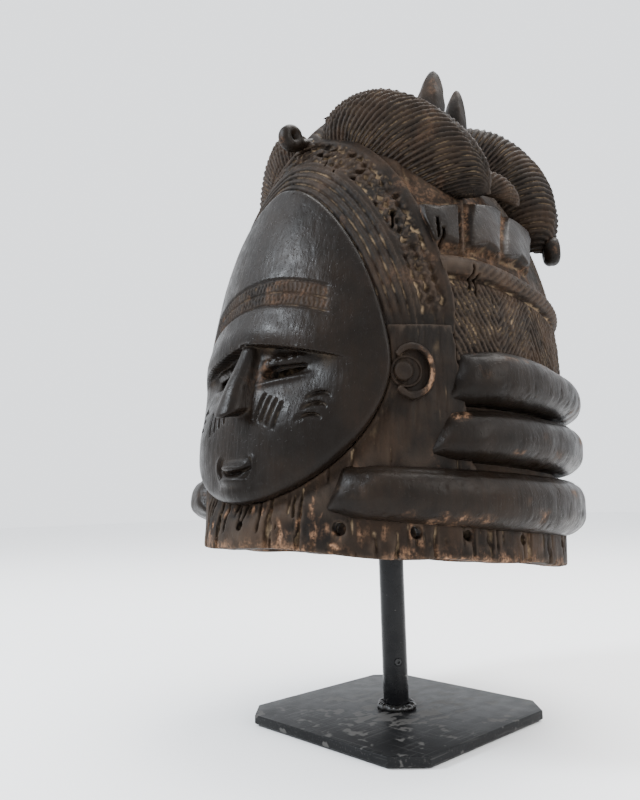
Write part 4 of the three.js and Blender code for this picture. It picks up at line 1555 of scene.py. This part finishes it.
class MASK_OT_stage(Make, bpy.types.Operator):
    """Set the floor, the lights and the camera"""

    bl_idname = "mask.stage"
    bl_label = "Set stage"

    def make(self, scene):
        settings = scene.mask_stage
        bm = bmesh.new()
        bmesh.ops.create_grid(bm, x_segments=1, y_segments=1, size=6)
        floor = from_bmesh("floor", bm)
        paint = Finish("floor_paint")
        speck = paint.noise(0.4, 3)
        pale = tuple(settings.floor)
        speckled = paint.mix(speck, pale, tuple(0.985 * c for c in pale))
        paint.link(speckled, paint.shader.inputs["Base Color"])
        paint.shader.inputs["Roughness"].default_value = 0.7
        floor.data.materials.append(paint.material)
        world = bpy.data.worlds.new("studio")
        scene.world = world
        world.use_nodes = True
        sky = world.node_tree.nodes["Background"]
        sky.inputs[0].default_value = (*SKY_COLOUR, 1)
        sky.inputs[1].default_value = SKY_STRENGTH
        aim = Vector((0, 0, 0.3))
        lights = (
            ("window", (-0.9, -1.5, 1.5), 0.45, settings.key_power, (0.86, 0.93, 1.0)),
            ("side", (1.7, 0.2, 1.1), 1.2, settings.key_power * 0.5, (1.0, 0.97, 0.93)),
            ("top", (0.1, 0.5, 1.9), 1.2, settings.key_power * 0.7, (1.0, 0.98, 0.95)),
        )
        for name, place, size, power, colour in lights:
            data = bpy.data.lights.new(name, "AREA")
            data.size, data.energy, data.color = size, power, colour
            light = bpy.data.objects.new(name, data)
            scene.collection.objects.link(light)
            place = Vector(place)
            way = (aim - place).to_track_quat("-Z", "Y").to_matrix().to_4x4()
            light.matrix_world = Matrix.Translation(place) @ way
        data = bpy.data.cameras.new("camera")
        data.lens, data.sensor_width = settings.lens, 36
        camera = bpy.data.objects.new("camera", data)
        scene.collection.objects.link(camera)
        pose = Matrix.Translation(Vector(CAMERA_AT) * MM)
        for axis, degrees in CAMERA_TURNS:
            pose = pose @ Matrix.Rotation(math.radians(degrees), 4, axis)
        camera.matrix_world = pose
        scene.camera = camera


OPERATORS = (
    MASK_OT_stage, MASK_OT_finishes, MASK_OT_face, MASK_OT_bands, MASK_OT_sides, MASK_OT_collar,
    MASK_OT_rolls, MASK_OT_hair, MASK_OT_horns, MASK_OT_ears, MASK_OT_lining, MASK_OT_plate,
    MASK_OT_post, MASK_OT_head,
)


class MASK_PT_panel(bpy.types.Panel):
    """Lists the steps that make the mask and its stand, and their settings"""

    bl_idname = "MASK_PT_panel"
    bl_label = "Carved mask"
    bl_space_type = "VIEW_3D"
    bl_region_type = "UI"
    bl_category = "Mask"

    def draw(self, context):
        for group in ("carved_mask", "mask_stand", "mask_stage"):
            box = self.layout.box()
            settings = getattr(context.scene, group)
            for key in settings.__annotations__:
                box.prop(settings, key)
        for operator in OPERATORS:
            self.layout.operator(operator.bl_idname)


CLASSES = (MaskSettings, StandSettings, StageSettings, *OPERATORS, MASK_PT_panel)


def register():
    for cls in CLASSES:
        bpy.utils.register_class(cls)
    bpy.types.Scene.carved_mask = PointerProperty(type=MaskSettings)
    bpy.types.Scene.mask_stand = PointerProperty(type=StandSettings)
    bpy.types.Scene.mask_stage = PointerProperty(type=StageSettings)


def unregister():
    for group in ("carved_mask", "mask_stand", "mask_stage"):
        delattr(bpy.types.Scene, group)
    for cls in reversed(CLASSES):
        bpy.utils.unregister_class(cls)


def main():
    register()
    for operator in OPERATORS:
        area, name = operator.bl_idname.split(".")
        getattr(getattr(bpy.ops, area), name)()


if __name__ == "__main__":
    main()
